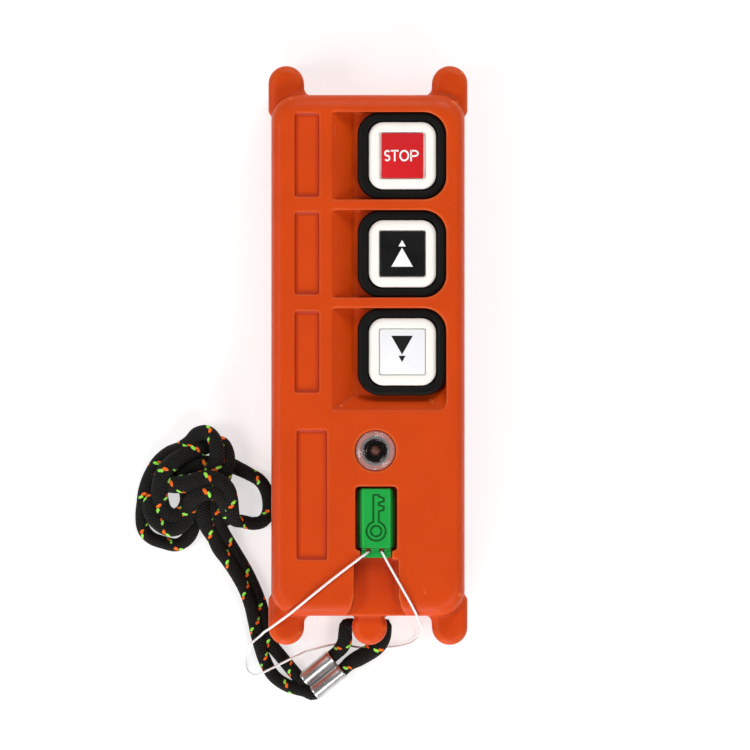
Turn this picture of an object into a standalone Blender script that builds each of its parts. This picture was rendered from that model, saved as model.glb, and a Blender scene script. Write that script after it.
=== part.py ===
"""Handheld hoist control station: orange two-part case, three sprung buttons, a magnetic key and a wrist lanyard.

The station lies on its back. +Z points out of the button face, +Y to the end with the stop button.
Every size below is in millimetres, and MM turns it into Blender's metres where a mesh is made.
"""

import math

import bmesh
import bpy
from mathutils import Matrix, Vector

MM = 0.001
GAP = 0.2

# ---------------------------------------------------------------- case
BODY_X = 24.8            # half width at the parting line
BODY_Y = 66.7            # half length of the body, without the corner bumpers
DRAFT = 0.25             # how much each half narrows away from the parting line
CORNER_R = 6.5
CORNER_STEPS = 5
THICKNESS = 26.0
FACE_Z = THICKNESS
PARTING = 11.0
WALL = 2.2
BACK_ROUND = 4.0         # rounding of the back's edge
FACE_ROUND_SIDE = 2.4    # rounding of the face's long edges, seen from above
FACE_ROUND_END = 4.0     # rounding of the face's short edges, seen from above
FACE_ROUND_Z = 3.5
CAVITY_TOP = 20.2        # inner side of the pocket floors
CAVITY_TOP_THIN = 23.9   # inner side of the face where there is no pocket

BUMPER_R = 4.55
BUMPER_X = 20.9
BUMPER_Y = 69.45
BUMPER_START = 61.5      # where the bumper swells out of the side
BUMPER_FILLET = 2.4
BUMPER_Z = (4.0, 20.0)
BUMPER_ROUND = 1.9

KNOB_X = 0.4             # knob above the lanyard eye
KNOB_Y = -69.5
KNOB_R = 4.5
EYE_HALF = 2.2           # half width of the lanyard eye under the knob
EYE_END = -73.4
EYE_HOLE = (-69.6, 4.9)  # y, z
EYE_HOLE_R = 2.15

# ---------------------------------------------------------------- buttons
BUTTON_X = 8.8
BUTTON_YS = {"stop": 50.9, "up": 25.9, "down": 0.9}
RING_HALF = 11.0
RING_R = 5.8
POCKET_MARGIN = 0.15
POCKET_FLOOR = 21.5
POCKET_LEFT = -9.4       # where the thumb slope starts on the face
POCKET_SLOPE = 5.8
POCKET_END_SLOPE = 3.9   # extra slope below the last button
CAP_HALF = 8.55
CAP_R = 3.7
CAP_BOTTOM = 21.7
TILE_HALF = 5.75
TRAVEL = 1.5
STEM_BOTTOM = 16.85

BOARD_Z = (7.4, 9.0)
SWITCH_HALF = 6.0
SWITCH_Z = (9.1, 15.1)
SWITCH_BORE_R = 3.1

# ---------------------------------------------------------------- label recesses: x0, x1, y0, y1
LABELS = (
    (-18.6, -12.5, 40.5, 61.7),
    (-18.6, -12.5, 15.6, 36.5),
    (-18.6, -12.5, -9.4, 11.2),
    (-18.1, -10.5, -52.0, -19.1),
)
LABEL_DEPTH = 0.7

# ---------------------------------------------------------------- status lamp and key
LAMP = (1.9, -24.3)
LENS_R = 5.0
KEY_X = 2.1
KEY_POCKET_HALF = 5.3
KEY_POCKET_Y = (-49.8, -33.4)
KEY_FLOOR = 21.6
KEY_BASE_HALF = 4.75
KEY_PANEL_HALF = 3.68
KEY_Y = (-49.3, -33.8)
KEY_TAB_HALF = 3.75
KEY_TAB_Y = -51.6
KEY_TAB_Z = (23.0, 24.2)
MAGNET = (KEY_X, -41.7)
KEY_HOLES = (0.1, 3.5)
KEY_HOLE_Y = -49.8
KEY_HOLE_R = 0.65
GROOVE_HALF = 5.65

# ---------------------------------------------------------------- battery bay
BAY_HALF = 15.4
BAY_Y = (-61.0, -7.7)
BAY_TOP = 16.8
BAY_WALL = 1.2
COVER_HALF = 17.5
COVER_Y = (-63.2, 1.0)
COVER_Z = (0.25, 2.1)
COVER_SCREWS = ((-11.0, -3.0), (11.0, -3.0))
CELL_R = 7.1
CELL_X = 7.45
TAG_X = 5.0              # where the contacts' solder tags leave the bay
CELL_Z = 9.5
CELL_CAN = 49.2
CELL_BUTTON = 1.2

SCREW_XY = (20.7, 68.8)      # inside the bumpers, outside the seal
SCREW_HEAD_R = 2.6
SCREW_SHANK_R = 1.4

# ---------------------------------------------------------------- lanyard
CORD_R = 1.7
FERRULE_CENTRE = (-11.7, -82.2)
FERRULE_ANGLE = math.radians(39.0)
FERRULE_LENGTH = 9.4
FERRULE_PITCH = 4.35
FERRULE_R = 2.08
FERRULE_Z = 2.1
TETHER_R = 0.3

COLOURS = {
    # name: (colour, roughness, metallic)
    "orange_plastic": ((0.62, 0.075, 0.012), 0.5, 0.0),
    "black_rubber": ((0.012, 0.012, 0.011), 0.65, 0.0),
    "white_plastic": ((0.88, 0.86, 0.82), 0.4, 0.0),
    "red_tile": ((0.65, 0.02, 0.025), 0.4, 0.0),
    "black_tile": ((0.012, 0.012, 0.012), 0.4, 0.0),
    "grey_tile": ((0.78, 0.78, 0.79), 0.4, 0.0),
    "green_plastic": ((0.015, 0.36, 0.06), 0.35, 0.0),
    "clear_lens": ((0.85, 0.8, 0.8), 0.08, 0.0),
    "steel": ((0.6, 0.6, 0.6), 0.3, 1.0),
    "nickel": ((0.75, 0.73, 0.7), 0.15, 1.0),
    "board_green": ((0.02, 0.16, 0.06), 0.45, 0.0),
    "chip_black": ((0.02, 0.02, 0.022), 0.5, 0.0),
    "copper": ((0.72, 0.4, 0.2), 0.3, 1.0),
    "cell_sleeve": ((0.05, 0.09, 0.3), 0.35, 0.0),
    "red_wire": ((0.6, 0.02, 0.02), 0.5, 0.0),
    "cord_black": ((0.02, 0.02, 0.018), 0.85, 0.0),
    "tether_white": ((0.85, 0.85, 0.85), 0.4, 0.0),
}


def clear_scene():
    for obj in list(bpy.data.objects):
        bpy.data.objects.remove(obj)


def material(name):
    """The named Principled material, made once."""
    found = bpy.data.materials.get(name)
    if found:
        return found
    made = bpy.data.materials.new(name)
    made.use_nodes = True
    shader = made.node_tree.nodes["Principled BSDF"]
    colour, roughness, metallic = COLOURS[name]
    shader.inputs["Base Color"].default_value = (*colour, 1.0)
    shader.inputs["Roughness"].default_value = roughness
    shader.inputs["Metallic"].default_value = metallic
    return made


# ================================================================ outlines
def arc(cx, cy, radius, start, end, steps):
    """Points on an arc, from start to end degrees."""
    angles = [math.radians(start + (end - start) * i / steps) for i in range(steps + 1)]
    return [(cx + radius * math.cos(a), cy + radius * math.sin(a)) for a in angles]


def circle(cx, cy, radius, steps=24):
    return arc(cx, cy, radius, 0, 360 - 360 / steps, steps - 1)


def rounded_box(x0, x1, y0, y1, radii, steps=4):
    """A box's outline, anticlockwise. radii is one radius, or four: right top, left top, left bottom, right bottom."""
    tr, tl, bl, br = radii if isinstance(radii, tuple) else (radii,) * 4
    return (
        arc(x1 - tr, y1 - tr, tr, 0, 90, steps)
        + arc(x0 + tl, y1 - tl, tl, 90, 180, steps)
        + arc(x0 + bl, y0 + bl, bl, 180, 270, steps)
        + arc(x1 - br, y0 + br, br, 270, 360, steps)
    )


def rounded_rect(cx, cy, half_x, half_y, radius, steps=4):
    return rounded_box(cx - half_x, cx + half_x, cy - half_y, cy + half_y, radius, steps)


def inset(outline, distance):
    """The outline moved inwards along its own normals."""
    moved = []
    for i, (x, y) in enumerate(outline):
        before, after = Vector(outline[i - 1]), Vector(outline[(i + 1) % len(outline)])
        along = (after - before).normalized()
        moved.append((x - along.y * distance, y + along.x * distance))
    return moved


def bumper_quarter(side_x, end_y):
    """The right top corner's bumper, anticlockwise from the side to the short edge."""
    inner = BUMPER_X - BUMPER_R
    return (
        [(side_x, BUMPER_START - 1.0), (BUMPER_X + BUMPER_R, BUMPER_START + 0.6)]
        + arc(BUMPER_X, BUMPER_Y, BUMPER_R, 0, 180, 8)
        + arc(inner - BUMPER_FILLET, end_y + BUMPER_FILLET, BUMPER_FILLET, 0, -90, 2)
    )


def bumper_outline(side_x, end_y, knob):
    """All four bumpers, and the knob between the lower two where knob is true, anticlockwise."""
    quarter = bumper_quarter(side_x, end_y)
    left_top = [(-x, y) for x, y in reversed(quarter)]
    left_bottom = [(-x, -y) for x, y in quarter]
    right_bottom = [(x, -y) for x, y in reversed(quarter)]
    neck = math.degrees(math.asin((-end_y - KNOB_Y) / KNOB_R))
    middle = arc(KNOB_X, KNOB_Y, KNOB_R, 180 - neck, 360 + neck, 12) if knob else []
    return quarter + left_top + left_bottom + middle + right_bottom


# ================================================================ meshes
def case_screw_places():
    return [(x * SCREW_XY[0], y * SCREW_XY[1]) for x in (-1, 1) for y in (-1, 1)]


def new_object(name, bm, colour):
    """An object of bm, whose points are in millimetres."""
    bmesh.ops.scale(bm, vec=(MM, MM, MM), verts=bm.verts)
    bmesh.ops.recalc_face_normals(bm, faces=bm.faces)
    mesh = bpy.data.meshes.new(name)
    bm.to_mesh(mesh)
    bm.free()
    obj = bpy.data.objects.new(name, mesh)
    bpy.context.scene.collection.objects.link(obj)
    if colour:
        mesh.materials.append(material(colour))
        mesh.shade_smooth()
        mesh.set_sharp_from_angle(angle=math.radians(35))
    return obj


def bridge(bm, low, high):
    """Quads between two rings of the same length."""
    for i in range(len(low)):
        j = (i + 1) % len(low)
        bm.faces.new((low[i], low[j], high[j], high[i]))


def add_loft(bm, sections):
    """A closed body through sections, each an outline and its height, capped at both ends."""
    rings = [[bm.verts.new((x, y, z)) for x, y in outline] for outline, z in sections]
    for low, high in zip(rings, rings[1:]):
        bridge(bm, low, high)
    bm.faces.new(list(reversed(rings[0])))
    bm.faces.new(rings[-1])


def loft(name, sections, colour=None):
    bm = bmesh.new()
    add_loft(bm, sections)
    return new_object(name, bm, colour)


def ring_loft(name, sections, colour):
    """A closed band: the sections run up the outside and down the inside, and the last meets the first."""
    bm = bmesh.new()
    rings = [[bm.verts.new((x, y, z)) for x, y in outline] for outline, z in sections]
    for low, high in zip(rings, rings[1:] + rings[:1]):
        bridge(bm, low, high)
    return new_object(name, bm, colour)


def prism(name, outline, z0, z1, colour=None):
    return loft(name, [(outline, z0), (outline, z1)], colour)


def box(name, x, y, z, colour=None):
    """A box from three (low, high) pairs."""
    corners = [(x[1], y[0]), (x[1], y[1]), (x[0], y[1]), (x[0], y[0])]
    return prism(name, corners, *z, colour)


def cylinder(name, centre, radius, z0, z1, colour=None, steps=24):
    return prism(name, circle(*centre, radius, steps), z0, z1, colour)


def turned(name, centre, profile, colour, steps=24):
    """A round piece about a vertical axis: profile is radius and height, up the outside; radius 0 ends it."""
    return loft(name, [(circle(*centre, max(r, 0.01), steps), z) for r, z in profile], colour)


def lay_along(obj, axis, origin):
    """Turns an object made along +Z so that it lies along axis, X or Y, from origin."""
    turn = Matrix.Rotation(math.radians(90), 4, "Y" if axis == "X" else "X")
    if axis == "Y":
        turn = turn.inverted()
    obj.data.transform(Matrix.Translation(Vector(origin) * MM) @ turn)
    return obj


def set_origin(x, y, *objects):
    """Puts each object's origin on the vertical line through x and y, and leaves its shape where it is."""
    for obj in objects:
        obj.data.transform(Matrix.Translation(Vector((-x, -y, 0)) * MM))
        obj.location = Vector((x, y, 0)) * MM


def cut(obj, *cutters):
    combine(obj, "DIFFERENCE", cutters)


def join(obj, *others):
    combine(obj, "UNION", others)


def combine(obj, operation, others):
    """Adds one Boolean for each of the other objects, which become hidden helpers."""
    for other in others:
        modifier = obj.modifiers.new(f"{operation.lower()}_{other.name}", "BOOLEAN")
        modifier.operation = operation
        modifier.object = other
        other.hide_render = True
        other.display_type = "WIRE"
        other.hide_set(True)


def smooth_route(points, per_span=4):
    """Points along a Catmull-Rom curve through the given ones."""
    ends = [Vector(points[0]) * 2 - Vector(points[1]), *map(Vector, points)]
    ends.append(Vector(points[-1]) * 2 - Vector(points[-2]))
    route = []
    for p0, p1, p2, p3 in zip(ends, ends[1:], ends[2:], ends[3:]):
        for step in range(per_span):
            t = step / per_span
            route.append(
                0.5 * (2 * p1 + (p2 - p0) * t + (2 * p0 - 5 * p1 + 4 * p2 - p3) * t**2
                       + (3 * p1 - p0 - 3 * p2 + p3) * t**3)
            )
    return route + [ends[-2]]


def tube(name, points, radius, colour, resolution=2):
    """A round cord or wire along points in millimetres, with closed ends."""
    curve = bpy.data.curves.new(name, "CURVE")
    curve.dimensions = "3D"
    curve.bevel_depth = radius * MM
    curve.bevel_resolution = resolution
    curve.use_fill_caps = True
    spline = curve.splines.new("POLY")
    spline.points.add(len(points) - 1)
    for point, place in zip(spline.points, points):
        point.co = (*(Vector(place) * MM), 1.0)
    curve.materials.append(material(colour))
    obj = bpy.data.objects.new(name, curve)
    bpy.context.scene.collection.objects.link(obj)
    return obj


def coil_points(radii, length, turns, steps=12):
    """A helix about +Z whose radius runs between two values."""
    count = int(turns * steps)
    points = []
    for i in range(count + 1):
        share = i / count
        radius = radii[0] + (radii[1] - radii[0]) * share
        angle = 2 * math.pi * turns * share
        points.append((radius * math.cos(angle), radius * math.sin(angle), length * share))
    return points


# ================================================================ front shell
def button_pocket(key, y):
    """The cutter of a button's pocket, which slopes up to the face on the thumb's side."""
    low, high = y - RING_HALF - POCKET_MARGIN, y + RING_HALF + POCKET_MARGIN
    right = BUTTON_X + RING_HALF + POCKET_MARGIN
    end_slope = POCKET_END_SLOPE if key == "down" else 0.0
    sections = []
    for z in (POCKET_FLOOR, FACE_Z + 1.5):
        share = (z - POCKET_FLOOR) / (FACE_Z - POCKET_FLOOR)
        left = POCKET_LEFT + POCKET_SLOPE * (1 - share)
        bottom = low - end_slope * share
        radius = RING_R if not end_slope else RING_R * max(0.12, 1 - share)
        sections.append((rounded_box(left, right, bottom, high, (RING_R, 0.4, 0.4, radius)), z))
    return loft(f"cut_pocket_{key}", sections)


def key_pocket():
    """Pocket for the key, slot for its tab, and the finger groove that runs out over the knob."""
    x = KEY_X
    pocket = prism("cut_key_pocket",
                   rounded_box(x - KEY_POCKET_HALF, x + KEY_POCKET_HALF, *KEY_POCKET_Y, 0.9),
                   KEY_FLOOR, FACE_Z + 1)
    slot = box("cut_key_slot", (x - KEY_TAB_HALF - 0.3, x + KEY_TAB_HALF + 0.3),
               (KEY_TAB_Y - 1.5, KEY_POCKET_Y[0] + 1), (KEY_FLOOR, FACE_Z + 1))
    near, far = KEY_TAB_Y - 0.4, -BODY_Y - 8
    flare = GROOVE_HALF + 2.6
    outline = [
        (x - GROOVE_HALF, near), (x - GROOVE_HALF, -61.5), (x - GROOVE_HALF - 0.8, -64.5),
        (x - flare, -BODY_Y - 0.3), (x - flare, far), (x + flare, far), (x + flare, -BODY_Y - 0.3),
        (x + GROOVE_HALF + 0.8, -64.5), (x + GROOVE_HALF, -61.5), (x + GROOVE_HALF, near),
    ]
    groove = prism("cut_groove", outline, KEY_FLOOR - 0.1, FACE_Z + 1)
    return pocket, slot, groove


def front_shell():
    base = PARTING + GAP
    sections = [(rounded_rect(0, 0, BODY_X, BODY_Y, CORNER_R, CORNER_STEPS), base)]
    edge = FACE_Z - FACE_ROUND_Z
    steps = 4
    for i in range(steps + 1):
        angle = math.pi / 2 * i / steps
        share = 1 - math.cos(angle)
        half_x = BODY_X - DRAFT - FACE_ROUND_SIDE * share
        half_y = BODY_Y - DRAFT - FACE_ROUND_END * share
        sections.append((rounded_rect(0, 0, half_x, half_y, CORNER_R - share, CORNER_STEPS),
                         edge + FACE_ROUND_Z * math.sin(angle)))
    shell = loft("front_shell", sections, "orange_plastic")
    outline = bumper_outline(BODY_X - 0.8, BODY_Y - 0.5, True)
    bumpers = [(outline, base)]
    for i in range(3):
        angle = math.pi / 2 * i / 2
        bumpers.append((inset(outline, BUMPER_ROUND * (1 - math.cos(angle))),
                        BUMPER_Z[1] - BUMPER_ROUND * (1 - math.sin(angle))))
    join(shell, loft("add_front_bumpers", bumpers))
    cut(
        shell,
        prism("cut_front_cavity", rounded_rect(0, 0, BODY_X - WALL, BODY_Y - WALL, 4.3),
              base - 1, CAVITY_TOP),
        box("cut_front_left", (-22.3, -11.2), (-18.0, 60.0), (CAVITY_TOP - 1, CAVITY_TOP_THIN)),
        box("cut_front_lower", (-22.3, KEY_X - 7.2), (-59.0, -17.2), (CAVITY_TOP - 1.3, CAVITY_TOP_THIN)),
        box("cut_front_right", (KEY_X + 7.2, 22.3), (-59.0, -17.2), (CAVITY_TOP - 1, CAVITY_TOP_THIN)),
    )
    for number, place in enumerate(case_screw_places(), 1):
        cut(shell, cylinder(f"cut_screw_bore_{number}", place, SCREW_SHANK_R + 0.12, base - 1, 18.2, steps=10))
    for key, y in BUTTON_YS.items():
        cut(shell, button_pocket(key, y),
            prism(f"cut_window_{key}", rounded_rect(BUTTON_X, y, 9.3, 9.3, 4.0, 3), CAVITY_TOP - 1,
                  POCKET_FLOOR + 1))
    cut(shell, *key_pocket())
    cut(shell, cylinder("cut_lens_seat", LAMP, LENS_R + 0.25, 24.8, FACE_Z + 1, steps=20),
        cylinder("cut_lamp_bore", LAMP, 3.6, CAVITY_TOP - 1, FACE_Z, steps=16))
    for number, label in enumerate(LABELS, 1):
        cut(shell, prism(f"cut_label_{number}", rounded_box(*label, 0.35, 2),
                         FACE_Z - LABEL_DEPTH, FACE_Z + 1))
    return shell


# ================================================================ rear shell
def rear_shell():
    sections = []
    steps = 3
    for i in range(steps + 1):
        angle = math.pi / 2 * i / steps
        in_by = BACK_ROUND * (1 - math.sin(angle)) + DRAFT
        sections.append((rounded_rect(0, 0, BODY_X - in_by, BODY_Y - in_by,
                                      CORNER_R - 0.7 * (in_by - DRAFT), CORNER_STEPS),
                         BACK_ROUND * (1 - math.cos(angle))))
    sections.append((rounded_rect(0, 0, BODY_X, BODY_Y, CORNER_R, CORNER_STEPS), PARTING))
    shell = loft("rear_shell", sections, "orange_plastic")
    outline = bumper_outline(BODY_X - 0.8, BODY_Y - 0.5, False)
    bumpers = []
    for i in range(3):
        angle = math.pi / 2 * i / 2
        bumpers.append((inset(outline, BUMPER_ROUND * (1 - math.sin(angle))),
                        BUMPER_Z[0] + BUMPER_ROUND * (1 - math.cos(angle))))
    bumpers.append((outline, PARTING))
    join(shell, loft("add_rear_bumpers", bumpers))
    eye = rounded_box(KNOB_X - EYE_HALF, KNOB_X + EYE_HALF, EYE_END, -BODY_Y + 3, 1.5, 3)
    join(shell, loft("add_eye", [(inset(eye, 0.8), 0.6), (eye, 1.4), (eye, PARTING)]))
    cut(
        shell,
        prism("cut_rear_cavity", rounded_rect(0, 0, BODY_X - WALL, BODY_Y - WALL, 4.3), WALL, PARTING + 1),
        lay_along(cylinder("cut_eye_hole", (0, 0), EYE_HOLE_R, 0, 8, steps=20), "X",
                  (KNOB_X - 4, *EYE_HOLE)),
    )
    join(
        shell,
        box("add_cover_frame", (-19.6, 19.6), (-65.0, 3.2), (1.0, 3.7)),
        box("add_bay", (-BAY_HALF - BAY_WALL, BAY_HALF + BAY_WALL),
            (BAY_Y[0] - BAY_WALL, BAY_Y[1] + BAY_WALL), (1.5, BAY_TOP + 1.0)),
    )
    for number, place in enumerate(case_screw_places(), 1):
        cut(shell, cylinder(f"cut_head_{number}", place, SCREW_HEAD_R + 0.35, -1, 7.0, steps=12),
            cylinder(f"cut_shank_{number}", place, SCREW_SHANK_R + 0.35, 5, PARTING + 1, steps=10))
    for number, place in enumerate(((-16.5, 36.0), (16.5, 36.0), (-16.5, 10.0), (16.5, 10.0)), 1):
        join(shell, cylinder(f"add_board_post_{number}", place, 1.8, 1.2, BOARD_Z[0] - GAP, steps=12))
    for number, place in enumerate(COVER_SCREWS, 1):
        join(shell, cylinder(f"add_cover_boss_{number}", place, 2.7, 2.5, BOARD_Z[0] - 0.3, steps=14))
        cut(shell, cylinder(f"cut_cover_boss_{number}", place, SCREW_SHANK_R + 0.12, 1, 6.6, steps=12))
    cut(
        shell,
        prism("cut_cover_recess",
              rounded_box(-COVER_HALF - 0.25, COVER_HALF + 0.25, COVER_Y[0] - 0.25, COVER_Y[1] + 0.25, 3.2, 4),
              -1, COVER_Z[1] + GAP),
        box("cut_bay", (-BAY_HALF, BAY_HALF), (BAY_Y[0], BAY_Y[1]), (COVER_Z[1] - 0.4, BAY_TOP)),
        prism("cut_type_plate", rounded_box(-16.0, 16.0, 12.0, 50.0, 1.5, 3), -1, 0.4),
        box("cut_tag_left", (-TAG_X - 1.1, -TAG_X + 1.1), (BAY_Y[1] - 0.3, BAY_Y[1] + 2), (4.7, 5.8)),
        box("cut_tag_right", (TAG_X - 1.1, TAG_X + 1.1), (BAY_Y[1] - 0.3, BAY_Y[1] + 2), (4.7, 5.8)),
        box("cut_tongue_left", (-15.2, -11.8), (-61.5, -60.5), (3.0, 4.1)),
        box("cut_tongue_right", (11.8, 15.2), (-61.5, -60.5), (3.0, 4.1)),
    )
    groove = (0.75, 1.95)
    ring_loft_cut = ring_loft(
        "cut_seal_groove",
        [(rounded_rect(0, 0, BODY_X - groove[0], BODY_Y - groove[0], CORNER_R - groove[0], CORNER_STEPS), 10.0),
         (rounded_rect(0, 0, BODY_X - groove[0], BODY_Y - groove[0], CORNER_R - groove[0], CORNER_STEPS), PARTING + 1),
         (rounded_rect(0, 0, BODY_X - groove[1], BODY_Y - groove[1], CORNER_R - groove[1], CORNER_STEPS), PARTING + 1),
         (rounded_rect(0, 0, BODY_X - groove[1], BODY_Y - groove[1], CORNER_R - groove[1], CORNER_STEPS), 10.0)],
        None)
    cut(shell, ring_loft_cut)
    cover_groove = ring_loft("cut_cover_groove", band(rounded_cover, 0.9, 1.75, 2.0, 2.95), None)
    cut(shell, cover_groove)
    return shell


def rounded_cover(in_by):
    """The line of the battery cover's seal, set in from the bay cover's edge; it passes inside the screws."""
    return rounded_box(-COVER_HALF + in_by, COVER_HALF - in_by, COVER_Y[0] + in_by - 0.15,
                       BAY_Y[1] + 2.15 - in_by, 2.4 - in_by * 0.5, 3)


def band(outline_at, outer, inner, z0, z1):
    """Sections of a closed band between two insets of one outline."""
    return [(outline_at(outer), z0), (outline_at(outer), z1), (outline_at(inner), z1), (outline_at(inner), z0)]


def seals():
    def case_line(in_by):
        return rounded_rect(0, 0, BODY_X - in_by, BODY_Y - in_by, CORNER_R - in_by, CORNER_STEPS)

    ring_loft("case_seal", band(case_line, 0.9, 1.8, 10.12, PARTING + 0.08), "black_rubber")
    ring_loft("battery_cover_seal", band(rounded_cover, 1.0, 1.65, COVER_Z[1] + 0.08, 2.85), "black_rubber")


# ================================================================ fasteners and battery cover
def screw(name, place, head_z, head_height, tip_z):
    """A pan head screw with a cross recess, its head towards the back."""
    r = SCREW_HEAD_R
    body = turned(name, place, [
        (r * 0.55, head_z), (r * 0.85, head_z + 0.25), (r, head_z + 0.8), (r, head_z + head_height),
        (SCREW_SHANK_R, head_z + head_height), (SCREW_SHANK_R, tip_z - 0.8), (0.5, tip_z)], "steel", 10)
    for number, (half_x, half_y) in enumerate(((1.5, 0.32), (0.32, 1.5))):
        x, y = place
        cut(body, box(f"cut_{name}_{number}", (x - half_x, x + half_x), (y - half_y, y + half_y),
                      (head_z - 0.5, head_z + 1.0 + 0.1 * number)))
    return body


def battery_cover():
    low, high = COVER_Z
    outline = rounded_box(-COVER_HALF, COVER_HALF, *COVER_Y, 3.0, 4)
    cover = loft("battery_cover", [(inset(outline, 0.5), low), (outline, low + 0.5), (outline, high)],
                 "orange_plastic")
    for side in (-1, 1):
        x = sorted((side * 12.0, side * 15.0))
        join(cover, box(f"add_tongue_root_{side}", x, (-60.85, -60.0), (high - 0.5, 3.9)),
             box(f"add_tongue_{side}", x, (-61.4, -60.3), (3.2, 3.9)))
    for number, (x, y) in enumerate(COVER_SCREWS, 1):
        cut(cover, cylinder(f"cut_cover_screw_{number}", (x, y), SCREW_SHANK_R + 0.3, low - 1, high + 1, steps=12),
            cylinder(f"cut_cover_head_{number}", (x, y), SCREW_HEAD_R + 0.3, low - 1, 1.25, steps=16))
    for number in range(4):
        y = -52.0 + number * 2.6
        cut(cover, prism(f"cut_grip_{number}", rounded_box(-9.0, 9.0, y - 0.6, y + 0.6, 0.5, 1),
                         low - 1, low + 0.45))
    return cover


def fasteners():
    for number, place in enumerate(case_screw_places(), 1):
        screw(f"case_screw_{number}", place, 4.7, 2.1, 17.7)
    for number, place in enumerate(COVER_SCREWS, 1):
        screw(f"cover_screw_{number}", place, 0.2, 0.9, 6.2)


# ================================================================ cells and contacts
def cell(name, x, up):
    """An AA cell along Y; up puts its button end at +Y."""
    length = CELL_CAN
    body = turned(name, (0, 0), [
        (CELL_R - 0.6, 0), (CELL_R, 0.5), (CELL_R, length - 0.5), (CELL_R - 0.6, length),
        (2.7, length), (2.7, length + CELL_BUTTON)], "cell_sleeve", 18)
    if up:
        return lay_along(body, "Y", (x, BAY_Y[1] - 1.9 - length, CELL_Z))
    body.data.transform(Matrix.Rotation(math.pi, 4, "X"))
    return lay_along(body, "Y", (x, BAY_Y[0] + 1.9 + length, CELL_Z))


def cell_spring(name, x, y, away):
    """A conical contact spring between a contact plate at y and the cell's flat end."""
    points = coil_points((3.9, 2.0), 1.0, 2.2, 10)
    route = [(x + px, y + away * (0.45 + pz), CELL_Z + py) for px, py, pz in points]
    return tube(name, route, 0.22, "nickel", 0)


def contacts():
    top, bottom = BAY_Y[1] - 0.1, BAY_Y[0] + 0.1
    for name, x in (("contact_positive", -CELL_X), ("contact_negative", CELL_X)):
        plate = box(name, (x - 5.5, x + 5.5), (top - 0.35, top), (4.5, 14.5), "nickel")
        tag = TAG_X if x > 0 else -TAG_X
        join(plate, box(f"add_{name}_tag", (tag - 0.9, tag + 0.9), (top - 0.2, top + 2.2), (5.0, 5.5)))
    box("contact_link", (-13.0, 13.0), (bottom, bottom + 0.35), (4.5, 14.5), "nickel")
    cell_spring("cell_spring_lower", -CELL_X, bottom + 0.35, 1)
    cell_spring("cell_spring_upper", CELL_X, top - 0.35, -1)
    for name, x, colour in (("battery_lead_positive", -TAG_X, "red_wire"),
                            ("battery_lead_negative", TAG_X, "black_rubber")):
        low = BOARD_Z[0]
        tube(name, smooth_route([(x, -5.2, 5.25), (x, -4.5, 5.25), (x, -3.8, 5.5), (x, -3.45, 6.2),
                                 (x, -3.4, low - 0.15)], 2), 0.5, colour, 1)


# ================================================================ electronics
def main_board():
    return box("main_board", (-20.8, 20.8), (-6.0, 63.2), BOARD_Z, "board_green")


def board_parts():
    z = BOARD_Z[1] + 0.1
    box("microcontroller", (-15.0, -5.0), (22.0, 32.0), (z, z + 1.5), "chip_black")
    prism("radio_module", rounded_box(-17.5, -4.5, 38.0, 54.0, 0.8, 2), z, z + 3.0, "steel")
    prism("crystal", rounded_box(-15.0, -4.5, 11.0, 15.0, 1.9, 4), z, z + 3.2, "steel")
    route = [(-11.0 + pz, 59.9 + px, z + 2.7 + py) for px, py, pz in coil_points((1.9, 1.9), 20.0, 6, 8)]
    tube("antenna_coil", [(-11.0, 61.8, z + 0.4), *route], 0.45, "copper", 0)
    z = 18.1
    box("lamp_board", (-3.0, 7.0), (-47.0, -15.4), (z, z + 1.0), "board_green")
    box("hall_sensor", (KEY_X - 1.5, KEY_X + 1.5), (-43.0, -40.4), (z + 1.1, z + 1.9), "chip_black")
    ribbon = [(-15.2, 18.35), (-9.0, 18.35), (-6.3, 18.3), (-5.0, 17.2), (-4.4, 14.0), (-4.4, 9.3)]
    under = [(-4.7, 9.3), (-4.7, 14.0), (-5.3, 17.0), (-6.5, 18.0), (-9.0, 18.1), (-15.2, 18.1)]
    strip = prism("lamp_ribbon", ribbon + under, 0, 4.0, "chip_black")
    strip.data.transform(Matrix(((0, 0, 1, -3.0 * MM), (1, 0, 0, 0), (0, 1, 0, 0), (0, 0, 0, 1))))


def lamp():
    turned("lamp_led", LAMP, [(1.9, 19.25), (1.9, 20.1), (1.5, 20.1), (1.5, 23.4), (1.3, 24.1), (0.8, 24.6),
                              (0.2, 24.8)], "clear_lens", 12)
    ring_loft("lamp_holder", [(circle(*LAMP, r, 14), z) for r, z in
                              ((2.7, 20.3), (2.7, 25.0), (1.75, 25.0), (1.75, 20.3))], "chip_black")
    profile = [(3.4, 22.4), (3.4, 24.95), (LENS_R, 24.95), (LENS_R, 25.6), (LENS_R - 0.4, 26.0),
               (3.4, 26.35), (0.01, 26.5), (0.01, 25.5), (2.2, 25.4), (2.85, 25.2), (2.85, 22.4)]
    bm = bmesh.new()
    rings = []
    for r, z in profile:
        if r > 0.1:
            rings.append([bm.verts.new((x, y, z)) for x, y in circle(*LAMP, r, 18)])
        else:
            rings.append([bm.verts.new((*LAMP, z))])
    for low, high in zip(rings, rings[1:] + rings[:1]):
        if len(low) == 1 and len(high) == 1:
            continue
        if len(high) == 1:
            for i in range(len(low)):
                bm.faces.new((low[i], low[(i + 1) % len(low)], high[0]))
        elif len(low) == 1:
            for i in range(len(high)):
                bm.faces.new((low[0], high[(i + 1) % len(high)], high[i]))
        else:
            bridge(bm, low, high)
    new_object("lamp_lens", bm, "clear_lens")


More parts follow.
